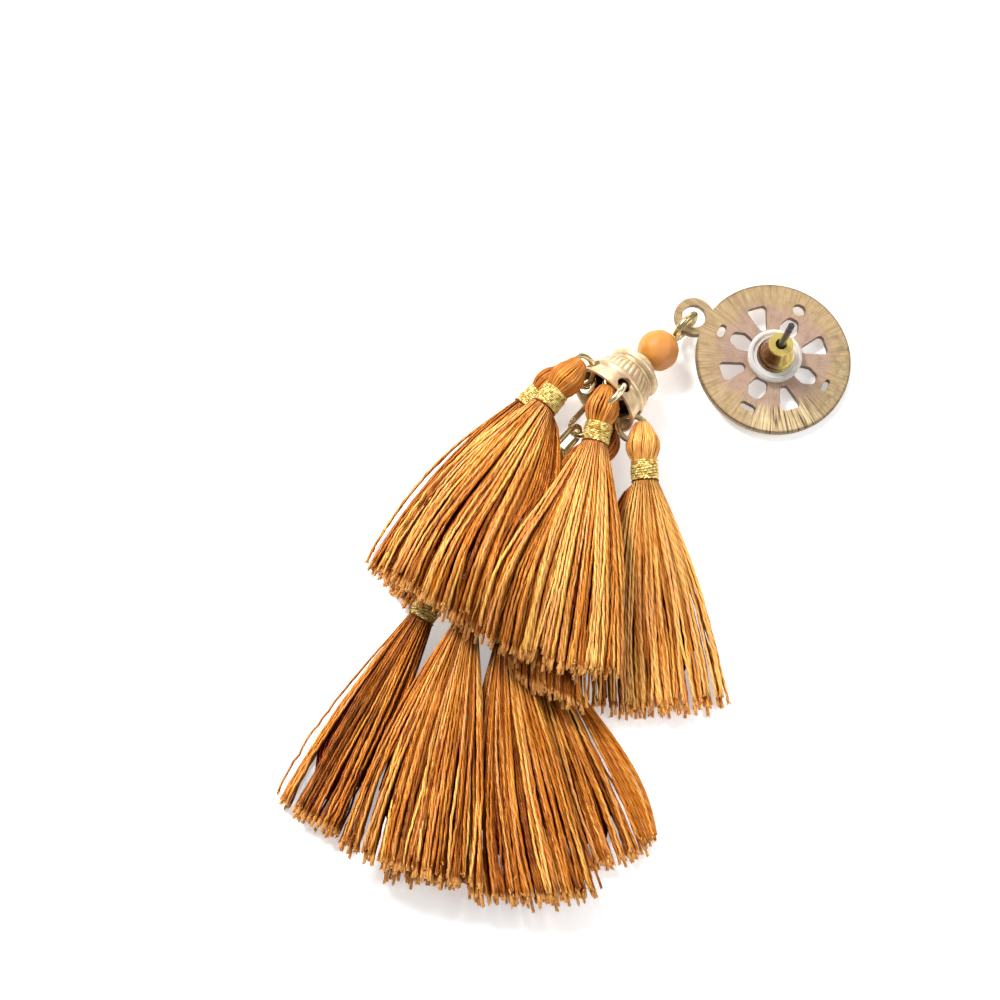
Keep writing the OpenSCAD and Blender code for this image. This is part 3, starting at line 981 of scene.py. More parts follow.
@dataclass
class PiercedDisc:
    """Pierced disc with its post and clutch: the solids stay, with better finishes."""

    heading: float = 15.7
    tilt: float = 7.0
    thickness: float = 1.0
    post_l: float = 12.0

    def lay(self) -> Lay:
        """Finds the disc by the tip of its post.

        Returns:
            Place of the disc's lower face, and its axis.
        """
        t = math.radians(self.tilt)
        axis = side(self.heading) * math.sin(t) + np.array([0.0, 0.0, math.cos(t)])
        tip = far_ring("disc_stud", axis)
        return Lay(tip - axis * (self.thickness + self.post_l) * MM, axis, self.heading)

    def dress(self) -> None:
        """Gives the disc, the tube and the pad their finishes."""
        lay = self.lay()
        paint(DiscGilt(lay, self.thickness).build(), "disc_stud")
        paint(GiltWithPaintedReflection(lay).build(), "clutch_tube")
        paint(ClearPlastic().build(), "clutch_pad")


@dataclass
class Bead:
    """Round bead with soft facets and a bore for its pin."""

    diameter: float = 5.2
    bore: float = 1.1
    rise: float = 12.0
    facets: int = 46
    unevenness: float = 0.05
    sharpness: float = 26.0
    rows: int = 56
    columns: int = 96
    seed: int = 5

    def _facet_ways(self) -> Array:
        """Directions of the facets, spread evenly over the ball and then a little moved.

        Returns:
            The directions, shape (facets, 3).
        """
        k = np.arange(self.facets) + 0.5
        up, turn = 1 - 2 * k / self.facets, k * GOLDEN_TURN
        level = np.sqrt(1 - up**2)
        ways = np.stack([level * np.cos(turn), level * np.sin(turn), up], -1)
        rng = np.random.default_rng(self.seed)
        return unit(ways + rng.normal(0, self.unevenness, ways.shape))

    def build(self) -> None:
        """Builds the bead."""
        middle, r, around = box_middle("bead"), self.diameter / 2, circle(self.columns)
        first = math.asin(self.bore / 2 / r)
        polar = np.linspace(first, math.pi - first, self.rows)[:, None]
        level = np.sin(polar)
        parts = (level * np.cos(around), level * np.sin(around), np.cos(polar))
        rays = np.stack(np.broadcast_arrays(*parts), -1)
        # Each ray ends at the nearest facet; a soft minimum rounds the edges between them.
        near = 1.0 / np.clip(rays @ self._facet_ways().T, 0.05, 1.0)
        cut = -np.log(np.sum(np.exp(-near * self.sharpness), axis=-1)) / self.sharpness
        rings = rays * (cut / cut.max() * r)[..., None]
        skin = Skin()
        skin.loft(Lay(middle, aim(0, self.rise), 0.0).carry(rings * MM), 0.0, close=Close.LOOP)
        skin.make("bead_faceted", BeadResin(middle).build(), "bead_resin", "bead")


@dataclass
class BellCap:
    """Pressed bell cap: stepped brim, slanted flutes, a ridge and a smooth rim with its holes."""

    node: str
    heading: float
    rise: float
    holes: tuple[float, ...]
    length: float = 7.6
    rim_d: float = 9.5
    collar_d: float = 3.6
    brim_d: float = 7.1
    wall: float = 0.6
    bore: float = 1.04
    hole_d: float = 1.9
    hole_inset: float = 1.35
    hole_sides: int = 28
    cutter_l: float = 3.04
    band_share: float = 0.87
    top_share: float = 0.9
    middle_share: float = 0.6
    bell_share: float = 0.28
    swell: float = 0.06
    flutes: int = 34
    flute_rows: int = 9
    flute_depth: float = 0.17
    flute_slant: float = 0.55
    columns: int = 272

    # How much darker the outline's rows that lie in a seam are painted.
    SEAMS: ClassVar[dict[int, float]] = {5: 0.8, 11: 0.75, 14: 0.7, 24: 0.7, 29: 0.45}

    def __post_init__(self) -> None:
        """Finds the radii between the brim and the rim."""
        self.rim_r = self.rim_d / 2
        self.band_r = self.rim_r * self.band_share
        self.top_r = self.brim_d / 2 * self.top_share
        self.middle_r = self.top_r + (self.band_r - self.top_r) * self.middle_share

    def axis(self) -> Array:
        """The cap's axis, from collar to rim."""
        return aim(self.heading, self.rise)

    def rim(self) -> Array:
        """Middle of the rim, in metres."""
        return far_ring(self.node, self.axis())

    def lay(self) -> Lay:
        """Place of the cap's foot and its axis."""
        return Lay(self.rim() - self.axis() * self.length * MM, self.axis(), self.heading)

    def outline(self) -> list[Triple]:
        """Outer outline from collar to rim.

        Returns:
            Radius, height and share of the flutes' depth of each row.
        """
        n, band, rim = self.length, self.band_r, self.rim_r
        collar = ((0.86, 0.0, 0), (0.97, 0.012, 0), (1, 0.04, 0), (0.95, 0.09, 0), (1.02, 0.13, 0))
        brim = ((0.72, 0.145, 0), (0.9, 0.165, 0), (0.985, 0.195, 0))
        brim += ((1, 0.225, 0), (0.985, 0.262, 0), (0.93, 0.285, 0))
        top = ((0.985, 0.3, 0), (1, 0.318, 0), (1.012, 0.332, 0), (0.995, 0.35, 0.2))
        parts = ((self.collar_d / 2, collar), (self.brim_d / 2, brim), (self.top_r, top))
        rows = [(r * wide, n * at, fluted) for r, part in parts for wide, at, fluted in part]
        bends = ([n * 0.32, n * 0.48, n * 0.64], [self.top_r, self.middle_r, band])
        for share in np.linspace(0, 1, self.flute_rows):
            height = n * (0.365 + 0.25 * share)
            radius = np.interp(height, *bends) + self.swell * math.sin(math.pi * share)
            rows.append((float(radius), height, math.sin(math.pi * (0.06 + 0.88 * share)) ** 0.5))
        ridge = ((0.2, 0.645), (0.3, 0.665), (0.3, 0.685), (0.15, 0.705))
        bell = ((0.2, 0.78), (0.45, 0.85), (0.72, 0.92))
        rows += [(band * 0.995, n * 0.632, 0.1)]
        rows += [(band + self.wall * out, n * at, 0) for out, at in ridge]
        rows += [(band * 0.995, n * 0.722, 0)]
        rows += [(band + (rim - band) * out, n * at, 0) for out, at in bell]
        return rows + [(rim * 0.985, n * 0.975, 0), (rim, n * 0.992, 0)]

    def inner(self) -> list[Triple]:
        """Inner outline from rim to bore.

        Returns:
            Radius, height and share of the flutes' depth of each row.
        """
        n, w, rim, band = self.length, self.wall, self.rim_r, self.band_r
        lip = [(rim - w * 0.35, n, 0), (rim - w * 0.8, n * 0.995, 0), (rim - w, n * 0.97, 0)]
        bell = [(band - w, n * 0.72, 0), (band - w, n * 0.64, 0.4), (self.middle_r - w, n * 0.48, 0.6)]
        plate = [(self.top_r - w, n * 0.33, 0.2), (self.top_r - w, n * 0.24, 0)]
        return lip + bell + plate + [(self.bore / 2, n * 0.24, 0), (self.bore / 2, 0.0, 0)]

    def build(self) -> None:
        """Builds the cap with its flutes and holes."""
        lay, angles, outer = self.lay(), circle(self.columns), len(self.outline())
        radius, height, fluted = np.array(self.outline() + self.inner()).T[:, :, None]
        number = np.arange(len(radius))[:, None]
        phase = self.flutes * (angles + self.flute_slant * (height / self.length - 0.5))
        wave = np.abs(np.sin(phase / 2)) ** 0.8
        depth = self.flute_depth * fluted * (1 - wave)
        r = radius - depth * np.where(number < outer, 1.0, 0.5)
        rings = np.stack(np.broadcast_arrays(r * np.cos(angles), r * np.sin(angles), height), -1)
        seams = np.array([self.SEAMS.get(k, 0.0) for k in range(len(radius))])[:, None]
        tone = np.maximum(fluted * (1 - wave) ** 2 * 0.9, seams)
        # Rows inside the cap get tone 1, which the finish paints as shade.
        tone = np.where(number > outer + 2, 1.0, tone)
        skin = Skin()
        skin.loft(lay.carry(rings * MM), tone, close=Close.LOOP)
        finish = CapGilt(f"{self.node} gilt", lay).build()
        self._pierce(skin.make(f"{self.node}_pressed", finish, "cap_metal", self.node), lay)

    def _pierce(self, piece: bpy.types.Object, lay: Lay) -> None:
        """Cuts the rim's holes.

        Args:
            piece: The cap.
            lay: Its place and axis.
        """
        bell_l = self.length * self.bell_share
        share = (bell_l - self.hole_inset) / bell_l
        radius = self.band_r + (self.rim_r - self.band_r) * share - self.wall / 2
        hole_r = self.hole_d * MM / 2
        size = {"radius1": hole_r, "radius2": hole_r, "depth": self.cutter_l * MM}
        cutters = bmesh.new()
        for hole in self.holes:
            a = math.radians(hole)
            out = Vector((math.sin(a), math.cos(a), 0.0))
            spot = out * radius * MM + Vector((0, 0, (self.length - self.hole_inset) * MM))
            turn = out.to_track_quat("Z", "Y").to_matrix().to_4x4()
            matrix = lay.matrix() @ Matrix.Translation(spot) @ turn
            bmesh.ops.create_cone(cutters, cap_ends=True, segments=self.hole_sides, matrix=matrix, **size)
        mesh = bpy.data.meshes.new("rim_cutters")
        cutters.to_mesh(mesh)
        cutters.free()
        tool = bpy.data.objects.new("rim_cutters", mesh)
        bpy.context.scene.collection.objects.link(tool)
        cut = piece.modifiers.new("holes", "BOOLEAN")
        cut.object, cut.operation, cut.solver = tool, "DIFFERENCE", "EXACT"
        bpy.context.view_layer.update()
        graph = bpy.context.evaluated_depsgraph_get()
        done = bpy.data.meshes.new_from_object(piece.evaluated_get(graph))
        piece.modifiers.clear()
        piece.data = done
        bpy.data.objects.remove(tool)


class Way(Enum):
    """The edge of a tassel from which loose strands stand off."""

    LEFT = -1
    RIGHT = 1


@dataclass(frozen=True)
class Strays:
    """Strands that leave a skirt's edge in a bow and come back to it, with a low tone: painted shade."""

    way: Way
    count: int
    start: float
    reach: float
    peak: float
    # A low tone paints the strands darker, as shade.
    tone: float = 0.24
    slope: float = 0.75


@dataclass(frozen=True)
class Bundle:
    """What all tassels share: sizes in millimetres, shares, shades, and numbers of threads and points."""

    head_d: float = 4.0
    head_l: float = 3.3
    neck_d: float = 2.9
    band_l: float = 2.6
    gap: float = 0.1
    skirt_l: float = 29.5
    skirt_t: float = 2.8
    belly: float = 0.6
    thread_d: float = 0.34
    drape_h: float = 7.6
    drape_w: float = 9.5
    root_l: float = 1.1
    band_edge: float = 0.12
    spacing: float = 1.12
    head_thread: float = 0.31
    tone: float = 0.62
    inner_shade: float = 0.36
    head_tone: float = 0.47
    usual_fan: float = 13.0
    locks: int = 19
    least_locks: int = 7
    least_threads: int = 8
    steps: int = 26
    shade_body_sides: int = 28
    head_threads: int = 84
    band_steps: int = 20
    fibres: int = 5


@dataclass
class Tassel:
    """One tassel: how it lies, and its threads, head and band."""

    number: int
    turn: float
    dip: float
    fan: float
    sway: float
    rest: float
    thick: float
    drape: float
    long: float
    loose: tuple[Way, float] | None = None
    # Painted light and shade: a shift of the tone of all this tassel's threads.
    shade: float = 0.0
    strays: Strays | None = None
    sizes: Bundle = Bundle()
    mound: Array = field(default_factory=lambda: np.zeros(2))

    # Radius, side and number of each layer of threads, as shares of the outermost upper one.
    LAYERS: ClassVar[tuple[tuple[float, int, float], ...]] = (
        (1.0, 1, 1.0),
        (0.82, 1, 0.95),
        (0.6, 1, 0.85),
        (1.0, -1, 0.75),
    )
    # Share of the head's length and share of its radius, from the crown to below the band.
    HEAD: ClassVar[tuple[tuple[float, ...], ...]] = (
        (-0.4, -0.34, -0.2, -0.02, 0.2, 0.4, 0.6, 0.8, 1.0, 1.25),
        (0.12, 0.42, 0.6, 0.72, 0.9, 0.99, 1.0, 0.92, 0.76, 0.7),
    )
    # Turns, radius, distance from the neck and slant of each layer of windings.
    BAND: ClassVar[tuple[tuple[float, ...], ...]] = ((9, 0.16, 0.0, 0.0), (6, 0.14, 0.12, 0.7))
    # Radius and share of the way along of a fibre that splays at a cut end.
    FRAY: ClassVar[tuple[tuple[float, ...], ...]] = ((0.085, 0.08, 0.055), (0.97, 0.99, 1.0))

    def __post_init__(self) -> None:
        """Starts the random numbers and the first skin, and finds the neck from the band's box."""
        self.along = aim(self.turn, -self.dip)
        self.rng = np.random.default_rng(100 + self.number)
        self.skin = Skin()
        self.band_mid = box_middle(f"wrap_{self.number}") / MM
        b = self.sizes
        self.neck_r = b.neck_d / 2
        self.neck = self.band_mid + self.along * (b.band_l / 2 + b.gap)
        self.crown = self.band_mid - self.along * (b.band_l / 2 + b.gap + b.head_l)

    def point(self, s: Array, across: Array, over: Array) -> Array:
        """Points of the skirt.

        Args:
            s: Share of the skirt's length.
            across: From -1 at the left edge to 1 at the right one.
            over: From -1 at the under side to 1 at the upper one.

        Returns:
            The points, in millimetres.
        """
        b, neck_r = self.sizes, self.neck_r
        length = b.skirt_l * self.long
        r, a = length * s, np.radians(across * self.fan)
        flat = (neck_r + (self.thick * b.skirt_t / 2 - neck_r) * s) * over
        wide = neck_r * across + r * (1 + b.belly * (1 - s)) * np.sin(a) + self.sway * length * s * s
        plan = ahead(self.turn) * (r * np.cos(a))[..., None] + side(self.turn) * wide[..., None]
        x, y = self.neck[0] + plan[..., 0], self.neck[1] + plan[..., 1]
        sunk = length * math.tan(math.radians(self.dip)) * s * (1 - s) ** 2
        z = self.neck[2] * (1 - s) ** 2 * (1 + 2 * s) - sunk
        z = z + self.rest * b.skirt_t * s * s * (3 - 2 * s) + flat
        # The upper skirts drape over the lower cap.
        gap = np.hypot(x - self.mound[0], y - self.mound[1]) / b.drape_w
        z = z + self.drape * b.drape_h * np.exp(-gap * gap)
        return np.stack([x, y, np.maximum(0.0, z)], -1)

    def spokes(self, angle: Array) -> Array:
        """Directions out from the neck's axis at angles round it."""
        x = side(self.turn)
        return np.cos(angle)[..., None] * x + np.sin(angle)[..., None] * np.cross(x, self.along)

    def _places(self) -> tuple[Array, ...]:
        """Finds where the threads stand in the bundle.

        Returns:
            For each thread: across, over, and its layer's share of the radius.
        """
        b = self.sizes
        width = 2 * (self.neck_r + b.skirt_l * self.long * math.sin(math.radians(self.fan)))
        row = int(width / (b.thread_d * b.spacing))
        layers = []
        for radius, way, share in self.LAYERS:
            n = max(b.least_threads, int(row * share))
            a = np.clip((np.linspace(-1, 1, n) + self.rng.normal(0, 0.9 / n, n)) * radius, -1, 1)
            layers.append((a, way * np.sqrt(np.maximum(0, radius**2 - a**2)), np.full(n, radius * way)))
        return tuple(np.concatenate(part) for part in zip(*layers))

    def skirt(self) -> None:
        """Adds the hanging threads and their frayed ends."""
        b, rng = self.sizes, self.rng
        across, over, rho = self._places()
        n = len(across)
        # Most ends are nearly level, the outer ones a little shorter, and some are cut short.
        ends = np.where(rho > 0.9, rng.normal(0.972, 0.013, n), rng.normal(0.992, 0.012, n))
        short = rng.random(n) < 0.04
        ends = np.where(short, ends - rng.uniform(0.03, 0.1, n), np.clip(ends, 0.93, 1.02))
        s = np.linspace(0, 1, b.steps) * ends[:, None]
        # Locks: neighbours draw together towards the ends and leave gaps between them.
        locks = max(b.least_locks, int(b.locks * self.fan / b.usual_fan))
        centres = (np.arange(locks) + 0.5) / locks * 2 - 1 + rng.normal(0, 0.035, locks)
        member = np.argmin(np.abs((across + rng.normal(0, 0.05, n))[:, None] - centres), axis=1)
        pull = rng.uniform(0.25, 0.7, locks)[member, None] * ease((s - 0.08) / 0.7)
        pull = pull * (1 - 0.45 * ease((s - 0.75) / 0.25))
        drift = rng.normal(0, 0.05, locks)[member, None] * ease(s) + rng.normal(0, 0.035, (n, 1)) * s
        a = across[:, None] + (centres[member] - across)[:, None] * pull + drift
        # Each thread waves a little, in three sizes.
        wave = rng.normal(0, 1, (n, 3))
        phase = rng.uniform(0, FULL_TURN, (n, 3))
        for k, size in enumerate((0.022, 0.012, 0.006)):
            swing = np.sin(phase[:, k : k + 1] + s * math.pi * (1.3 + 1.7 * k))
            a = a + size * wave[:, k : k + 1] * swing * ease(s * 2.5)
        if self.loose:
            a = self._stand_off(a, s, across)
        up = over[:, None] + rng.normal(0, 0.1, (n, 1)) * ease(s * 2)
        up = up + 0.1 * wave[:, :1] * np.sin(phase[:, 1:2] + s * 5.0) * ease(s * 2)
        # Near the band only every other thread shows; the rest come up from below.
        up = up - np.where(np.arange(n) % 2, 0.3, 0.0)[:, None] * (1 - ease(s / 0.4)) * np.sign(up)
        raised = rng.normal(0, 0.12, locks)[member, None] * np.sin(math.pi * np.clip(s, 0, 1))
        paths = self.point(s, np.clip(a, -1.12, 1.12), np.clip(up + raised, -1.1, 1.15))
        kinks = rng.normal(0, 0.045, s.shape) * ease(s * 1.4)
        paths = paths + kinks[..., None] * side(self.turn)
        size = rng.uniform(0.86, 1.12, (n, 1))
        # Threads of the inner and under layers are painted darker, as shade; each tassel's shade value shifts
        # all its threads, as painted light and shade.
        tone = rng.normal(b.tone, 0.15, n) + rng.normal(0, 0.07, locks)[member]
        tone = tone - b.inner_shade * (rho < 0.9) + self.shade
        self._hang(paths, s, np.clip(tone, 0.1, 1.0), size, 0.18)
        if self.strays:
            self._stray(self.strays)

    def _stray(self, strays: Strays) -> None:
        """Adds strands that bow out from one edge and come back to it.

        Args:
            strays: How they stand.
        """
        rng, n = self.rng, strays.count
        u = ((np.arange(n) + 0.5) / n)[:, None]
        s = np.linspace(0, 1, self.sizes.steps) * rng.uniform(0.93, 0.98, (n, 1))
        bow = np.sin(math.pi * s ** (math.log(0.5) / math.log(strays.peak)))
        a = strays.start + 0.2 * u + strays.reach * u * bow + rng.normal(0, 0.03, (n, 1)) * ease(s * 3)
        over = 0.35 - strays.slope * u + rng.normal(0, 0.12, (n, 1)) + 0 * s
        paths = self.point(s, a * strays.way.value, over)
        self._hang(paths, s, np.clip(rng.normal(strays.tone, 0.09, n), 0.09, 0.7))

    def _hang(
        self, paths: Array, s: Array, tone: Array, size: Array | float = 1.0, flare: float = 0.0
    ) -> None:
        """Adds threads that come out of the band, and their cut ends.

        Args:
            paths: Points of each thread below the band, in millimetres.
            s: Share of the skirt's length at each point.
            tone: Shade of each thread.
            size: Thickness of each thread, as a share of the usual one.
            flare: How much thicker a thread is at its end.
        """
        first = paths[:, :1]
        root = first - self.along * self.sizes.root_l - (first - self.neck) * 0.12
        share = np.concatenate([np.zeros((len(s), 1)), s], axis=1)
        radii = self.sizes.thread_d / 2 * (0.6 + 0.4 * ease(share / 0.3))
        radii = radii * (1 + flare * ease((share - 0.93) / 0.07)) * size
        paths = lift(np.concatenate([root, paths], axis=1), radii)
        self.skin.sweep(paths * MM, radii * MM, tone, share)
        self._fray(paths, tone)

    def _stand_off(self, a: Array, s: Array, across: Array) -> Array:
        """Moves the outermost threads away from the bundle and draws the others in.

        Args:
            a: Place across at each point.
            s: Share of the skirt's length at each point.
            across: Place across of each thread in the band.

        Returns:
            The new places across.
        """
        way, start = self.loose[0].value, self.loose[1]
        bow = 0.1 * np.sin(math.pi * np.clip((s - 0.15) / 0.85, 0, 1)) ** 0.7
        inner = np.minimum(a * way, start - 0.1 * ease((s - 0.1) / 0.3))
        outer = 0.97 + bow + (a * way - 0.97) * 0.4 * (1 - ease(s * 1.5))
        return np.where((across * way > start)[:, None], outer, inner) * way

    def _fray(self, paths: Array, tone: Array) -> None:
        """Adds the fine fibres that splay at each cut end.

        Args:
            paths: Points of each thread, in millimetres.
            tone: Shade of each thread.
        """
        rng, n = self.rng, len(paths)
        tip = paths[:, -1]
        along = unit(tip - paths[:, -3])
        radii, run = (np.tile(row, (n, 1)) for row in self.FRAY)
        for _ in range(self.sizes.fibres):
            way = unit(along + rng.normal(0, 0.17, (n, 3)))
            length = rng.uniform(0.15, 0.5, (n, 1))
            start = tip - along * 0.4 + rng.normal(0, 0.05, (n, 3))
            end = start + way * length * 1.1 + rng.normal(0, 0.06, (n, 3))
            points = lift(np.stack([start, start + way * length * 0.6, end], 1), 0.08)
            shades = np.clip(tone + rng.normal(0.12, 0.12, n), 0.1, 1)
            self.skin.sweep(points * MM, radii * MM, shades, run, sides=4, close=Close.OPEN)

    def shade_body(self) -> None:
        """Adds a dense, darker body inside the bundle: painted shade that fills the gaps between the threads.
        """
        around, s = circle(self.sizes.shade_body_sides), np.linspace(0.0, 0.87, 12)[:, None]
        shrink = 0.82 - 0.16 * s - 0.4 * ease((s - 0.72) / 0.15)
        rings = self.point(s, np.cos(around) * shrink, np.sin(around) * (shrink - 0.12 * s))
        self.skin.loft(rings * MM, 0.0, (12.0, 20.0))

    def head(self) -> None:
        """Adds the folded head: threads from the crown over the bulge down to the band."""
        b, rng, n = self.sizes, self.rng, self.sizes.head_threads
        at, wide = np.array(self.HEAD)
        r = wide * b.head_d / 2
        axis = self.crown + self.along * (at * b.head_l)[:, None]
        start = circle(n) + rng.normal(0, 0.03, n)
        angle = start[:, None] + 0.3 * at + rng.normal(0, 0.035, (n, 1)) * np.sin(at * 3)
        thread_r = b.thread_d * b.head_thread
        reach = (r - thread_r * 0.8) * (1 + rng.normal(0, 0.02, (n, 1)))
        radii = thread_r * np.interp(at, [-0.4, 0.0, 0.5, 1.0], [0.55, 0.85, 1.12, 0.85])
        radii = radii * rng.uniform(0.9, 1.1, (n, 1))
        paths = lift(axis + reach[..., None] * self.spokes(-angle), radii)
        tone = np.clip(rng.normal(b.head_tone, 0.1, n) + self.shade, 0.1, 1)
        self.skin.sweep(paths * MM, radii * MM, tone, np.tile(np.linspace(0.2, 0.8, len(at)), (n, 1)))
        # A filling under the threads, of low tone: painted shade in the gaps between them.
        filling = axis[:, None] + np.maximum(0.05, r - 0.3)[:, None, None] * self.spokes(-circle(20))
        self.skin.loft(filling * MM, 0.12, (9.0, 4.0))

    def _wind(self, angle: Array, along: Array, reach: Array, wire: float, tone: float) -> None:
        """Adds one metallic thread round the neck.

        Args:
            angle: Angle round the neck at each point.
            along: Place along the neck from the band's middle, in millimetres.
            reach: Distance from the neck's axis, in millimetres.
            wire: The thread's radius, in millimetres.
            tone: Its shade.
        """
        m = len(angle)
        path = self.band_mid + self.along * along[:, None] + reach[:, None] * self.spokes(angle)
        radii = np.full((1, m), wire * MM)
        self.skin.sweep(lift(path, wire)[None] * MM, radii, np.array([tone]), np.linspace(0, 1, m)[None])

    def band(self) -> None:
        """Adds the windings of metallic thread, a level and a slanted layer, their tie and the filling."""
        high = self.sizes.band_l / 2 - self.sizes.band_edge
        for turns, wire, out, slant in self.BAND:
            m = turns * self.sizes.band_steps
            t = np.linspace(0, turns * FULL_TURN, m)
            reach = self.neck_r + out + 0.02 * np.sin(t * 3.3)
            along = np.linspace(slant * 0.4 - high, high - slant * 0.4, m)
            along = along + slant * 0.75 * np.sin(t * 0.985 + self.number) + self.rng.normal(0, 0.015, m)
            self._wind(t, np.clip(along, -high, high), reach, wire, 0.5)
        t = np.linspace(0, FULL_TURN, 33)
        self._wind(t, np.full(33, high + 0.13), np.full(33, self.neck_r + 0.1), 0.12, 0.0)
        # The filling under the windings has a low tone: painted shade between them.
        rows = np.linspace(-high, high, 4)[:, None, None]
        filling = self.band_mid + self.along * rows + (self.neck_r - 0.06) * self.spokes(-circle(24))
        self.skin.loft(filling * MM, 0.2)

    def build(self, thread: Material, folded: Material, metallic: Material) -> None:
        """Builds the tassel's three pieces.

        Args:
            thread: Finish of the hanging threads.
            folded: Finish of the head.
            metallic: Finish of the band.
        """
        k = self.number
        self.shade_body()
        self.skirt()
        self.skin.make(f"skirt_{k}", thread, "thread", f"tassel_{k}")
        self.skin = Skin()
        self.head()
        self.skin.make(f"head_{k}", folded, "thread")
        self.skin = Skin()
        self.band()
        self.skin.make(f"band_{k}", metallic, "metallic_thread", f"wrap_{k}")


@dataclass
class Tassels:
    """All ten tassels of the two caps."""

    lower_cap: BellCap

    # turn, dip, fan, sway, rest, thick, drape, long, threads that stand off, shade (painted light and shade),
    # strays
    ROWS: ClassVar[tuple[tuple, ...]] = (
        (-5, 6, 6, 0.2, 0.22, 0.4, 0, 0.9, (Way.LEFT, 0.9), -0.1),
        (5, 4, 13, 0.15, 1.95, 1, 1, 0.95, None, -0.02, Strays(Way.RIGHT, 22, 0.72, 1.0, 0.2)),
        (31, 5, 14, 0.01, 2.7, 0.8, 1, 0.965, None, 0.06, Strays(Way.LEFT, 8, 0.8, 0.45, 0.16)),
        (46, 7, 13.6, 0.01, 0.5, 1, 0, 0.935, None, 0.22, Strays(Way.LEFT, 12, 0.72, 0.6, 0.14)),
        (20, 3, 7.6, 0.23, 1.95, 0.5, 1, 0.94, None, -0.2),
        (13, 14, 8.2, 0.05, 0.5, 1, 0, 0.93, (Way.LEFT, 0.93), -0.28),
        (26, 14, 13, 0.07, 2.0, 1, 0, 1.02, None, -0.17),
        (45, 10, 12, 0.08, 1.4, 1, 0, 1.04, None, -0.2),
        (60, 2, 9, 0, 0.35, 0.7, 0, 0.9, None, -0.02, Strays(Way.RIGHT, 13, 0.98, 0.34, 0.62, 0.38, 0.4)),
        (38, 2, 9, -0.03, 0.3, 0.6, 0, 0.97, None, -0.12),
    )

    def build(self) -> None:
        """Builds the tassels."""
        finishes = [SilkyThread(use).build() for use in ThreadUse]
        mound = self.lower_cap.rim()[:2] / MM + self.lower_cap.axis()[:2] * 1.5
        for number, row in enumerate(self.ROWS, 1):
            Tassel(number, *row, mound=mound).build(*finishes)


@dataclass
class Hardware:
    """Wires of the earring: pins, chain links and jump rings."""

    links: int = 5
    rings: int = 10

    def dress(self) -> None:
        """Gives each wire its finish."""
        pin = GiltWire("Pin wire", rgb(214, 198, 150), rgb(70, 56, 30), 0.2, 0.7)
        chain = GiltWire("Chain wire", rgb(226, 206, 158), rgb(92, 72, 40), 0.24, 0.5)
        ring = GiltWire("Ring wire", rgb(240, 222, 178), rgb(112, 92, 56), 0.18, 0.35)
        paint(pin.build(), "eye_pin", "lower_eye_pin")
        paint(chain.build(), *(f"link_{k + 1}" for k in range(self.links)))
        paint(ring.build(), *(f"ring_{k + 1}" for k in range(self.rings)))


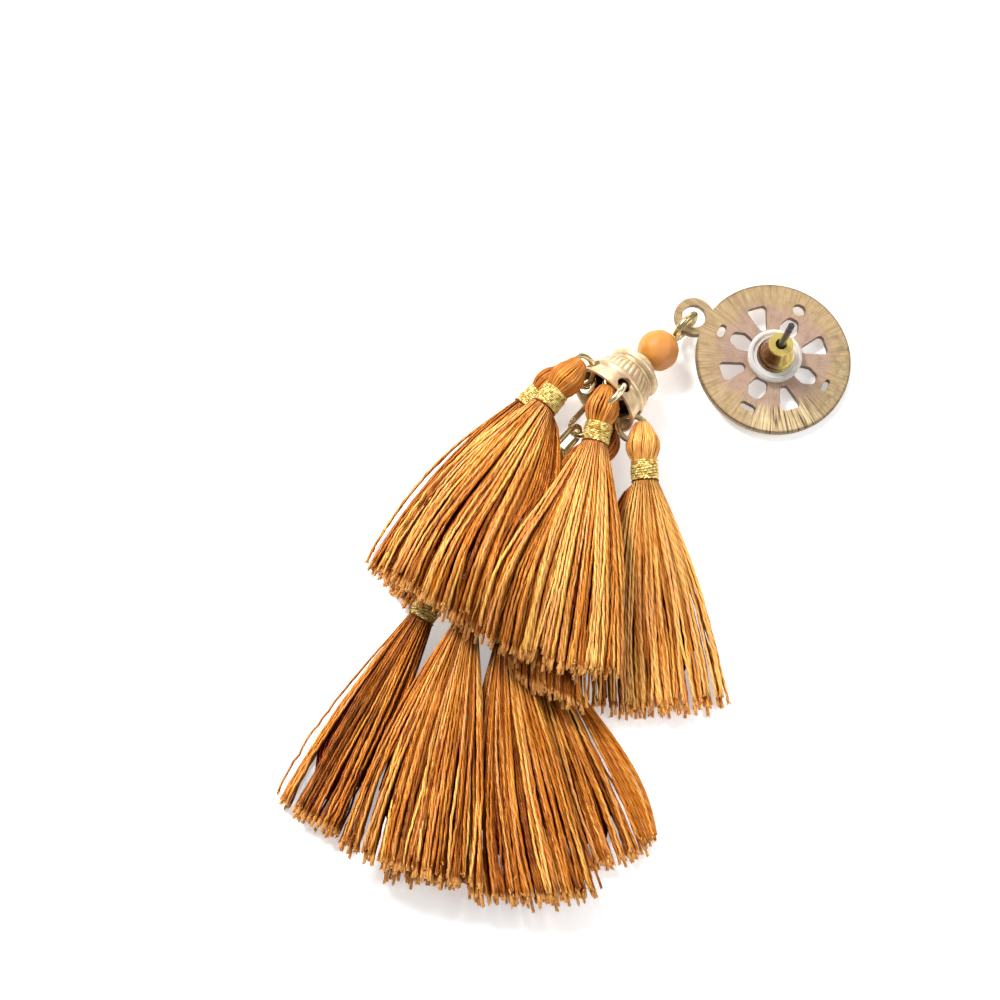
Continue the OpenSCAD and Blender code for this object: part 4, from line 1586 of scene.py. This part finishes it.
@dataclass
class Studio:
    """Pale floor, soft lights and the camera at the photograph's angle."""

    distance: float = 0.45
    tilt: float = 20.0
    scale: float = 0.00012
    anchor: tuple[float, float] = (658.3, 350.3)
    sensor: float = 36.0
    floor_r: float = 3.0
    sky: Colour = (1.0, 1.0, 1.0)
    horizon: Colour = (0.45, 0.44, 0.43)
    sky_power: float = 0.36

    def build(self) -> None:
        """Makes the floor, the lights and the camera."""
        self._camera()
        self._floor()
        self._world()
        self._light("key", (-0.3, 0.34, 0.55), 0.24, 7.8, (1.0, 0.985, 0.96))
        self._light("fill", (0.5, -0.1, 0.5), 0.5, 2.4, (0.97, 0.985, 1.0))
        self._light("rim", (0.1, 0.6, 0.25), 0.3, 1.6, (1.0, 1.0, 1.0))

    def _camera(self) -> None:
        """Makes the camera, which sees the bead where the photograph has it."""
        t = math.radians(self.tilt)
        look = Vector((0.0, math.sin(t), -math.cos(t)))
        right = Vector((1.0, 0.0, 0.0))
        up = right.cross(look)
        eye = -look * self.distance
        focal = self.distance / self.scale
        bead = box_middle("bead")
        centre = PHOTO_PIXELS / 2
        ray = look * focal + right * (self.anchor[0] - centre) - up * (self.anchor[1] - centre)
        hit = eye + ray * ((bead[2] - eye.z) / ray.z)
        spin = Matrix.Rotation(math.radians(PHOTO_TURN), 4, "Z")
        shift = Vector((bead[0], bead[1], 0.0)) - (spin @ Vector((hit.x, hit.y, 0.0)))
        data = bpy.data.cameras.new("camera")
        data.lens = self.sensor * focal / PHOTO_PIXELS
        data.sensor_width = self.sensor
        data.clip_start, data.clip_end = 0.01, 10.0
        camera = bpy.data.objects.new("camera", data)
        basis = Matrix((right, up, -look)).transposed().to_4x4()
        camera.matrix_world = Matrix.Translation(shift) @ spin @ Matrix.Translation(eye) @ basis
        bpy.context.scene.collection.objects.link(camera)
        bpy.context.scene.camera = camera

    def _floor(self) -> None:
        """Makes the plain pale floor."""
        r = self.floor_r
        mesh = bpy.data.meshes.new("floor")
        mesh.from_pydata([(-r, -r, 0), (r, -r, 0), (r, r, 0), (-r, r, 0)], [], [(0, 1, 2, 3)])
        mesh.materials.append(PaleFloor().build())
        floor = bpy.data.objects.new("floor", mesh)
        bpy.context.scene.collection.objects.link(floor)
        floor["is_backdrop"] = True

    def _world(self) -> None:
        """Makes even soft light from all round, a little darker at the horizon for the metal to mirror."""
        world = bpy.data.worlds.new("studio")
        bpy.context.scene.world = world
        world.use_nodes = True
        g = Graph(world.node_tree)
        where = g.node("ShaderNodeTexCoord").outputs["Generated"]
        height = g.node("ShaderNodeSeparateXYZ", {0: where}).outputs[2]
        colour = g.mix(g.remap(height, 0.0, 0.6), self.horizon, self.sky)
        glow = g.node("ShaderNodeBackground", {0: colour, 1: self.sky_power})
        g.node("ShaderNodeOutputWorld", {0: glow.outputs[0]})
        bpy.context.scene.view_settings.view_transform = "Standard"

    def _light(self, name: str, spot: Triple, size: float, power: float, colour: Colour) -> None:
        """Adds a soft square light that faces the middle of the floor.

        Args:
            name: Name of the light.
            spot: Its place along the photograph's right and up, and its height, in metres.
            size: Side of the square, in metres.
            power: Power, in watts.
            colour: Colour of the light.
        """
        data = bpy.data.lights.new(name, "AREA")
        data.size, data.energy, data.color = size, power, colour
        light = bpy.data.objects.new(name, data)
        light.location = photo_way(*spot)
        light.rotation_euler = (-light.location).to_track_quat("-Z", "Y").to_euler()
        bpy.context.scene.collection.objects.link(light)


def main() -> None:
    """Builds and dresses the earring."""
    logging.basicConfig(level=logging.INFO, format="%(name)s: %(message)s")
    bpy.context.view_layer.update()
    Studio().build()
    PiercedDisc().dress()
    Hardware().dress()
    Bead().build()
    BellCap("upper_cap", 0.0, 12.0, (-124, -52, 20, 92, 164)).build()
    lower = BellCap("lower_cap", 22.0, 8.0, (-72, 0, 72, 144, -144))
    lower.build()
    Tassels(lower).build()
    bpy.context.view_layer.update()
    total = sum(len(p.data.loop_triangles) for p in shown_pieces() if p.type == "MESH")
    LOG.info("%d triangles in all", total)


if __name__ == "__main__":
    main()
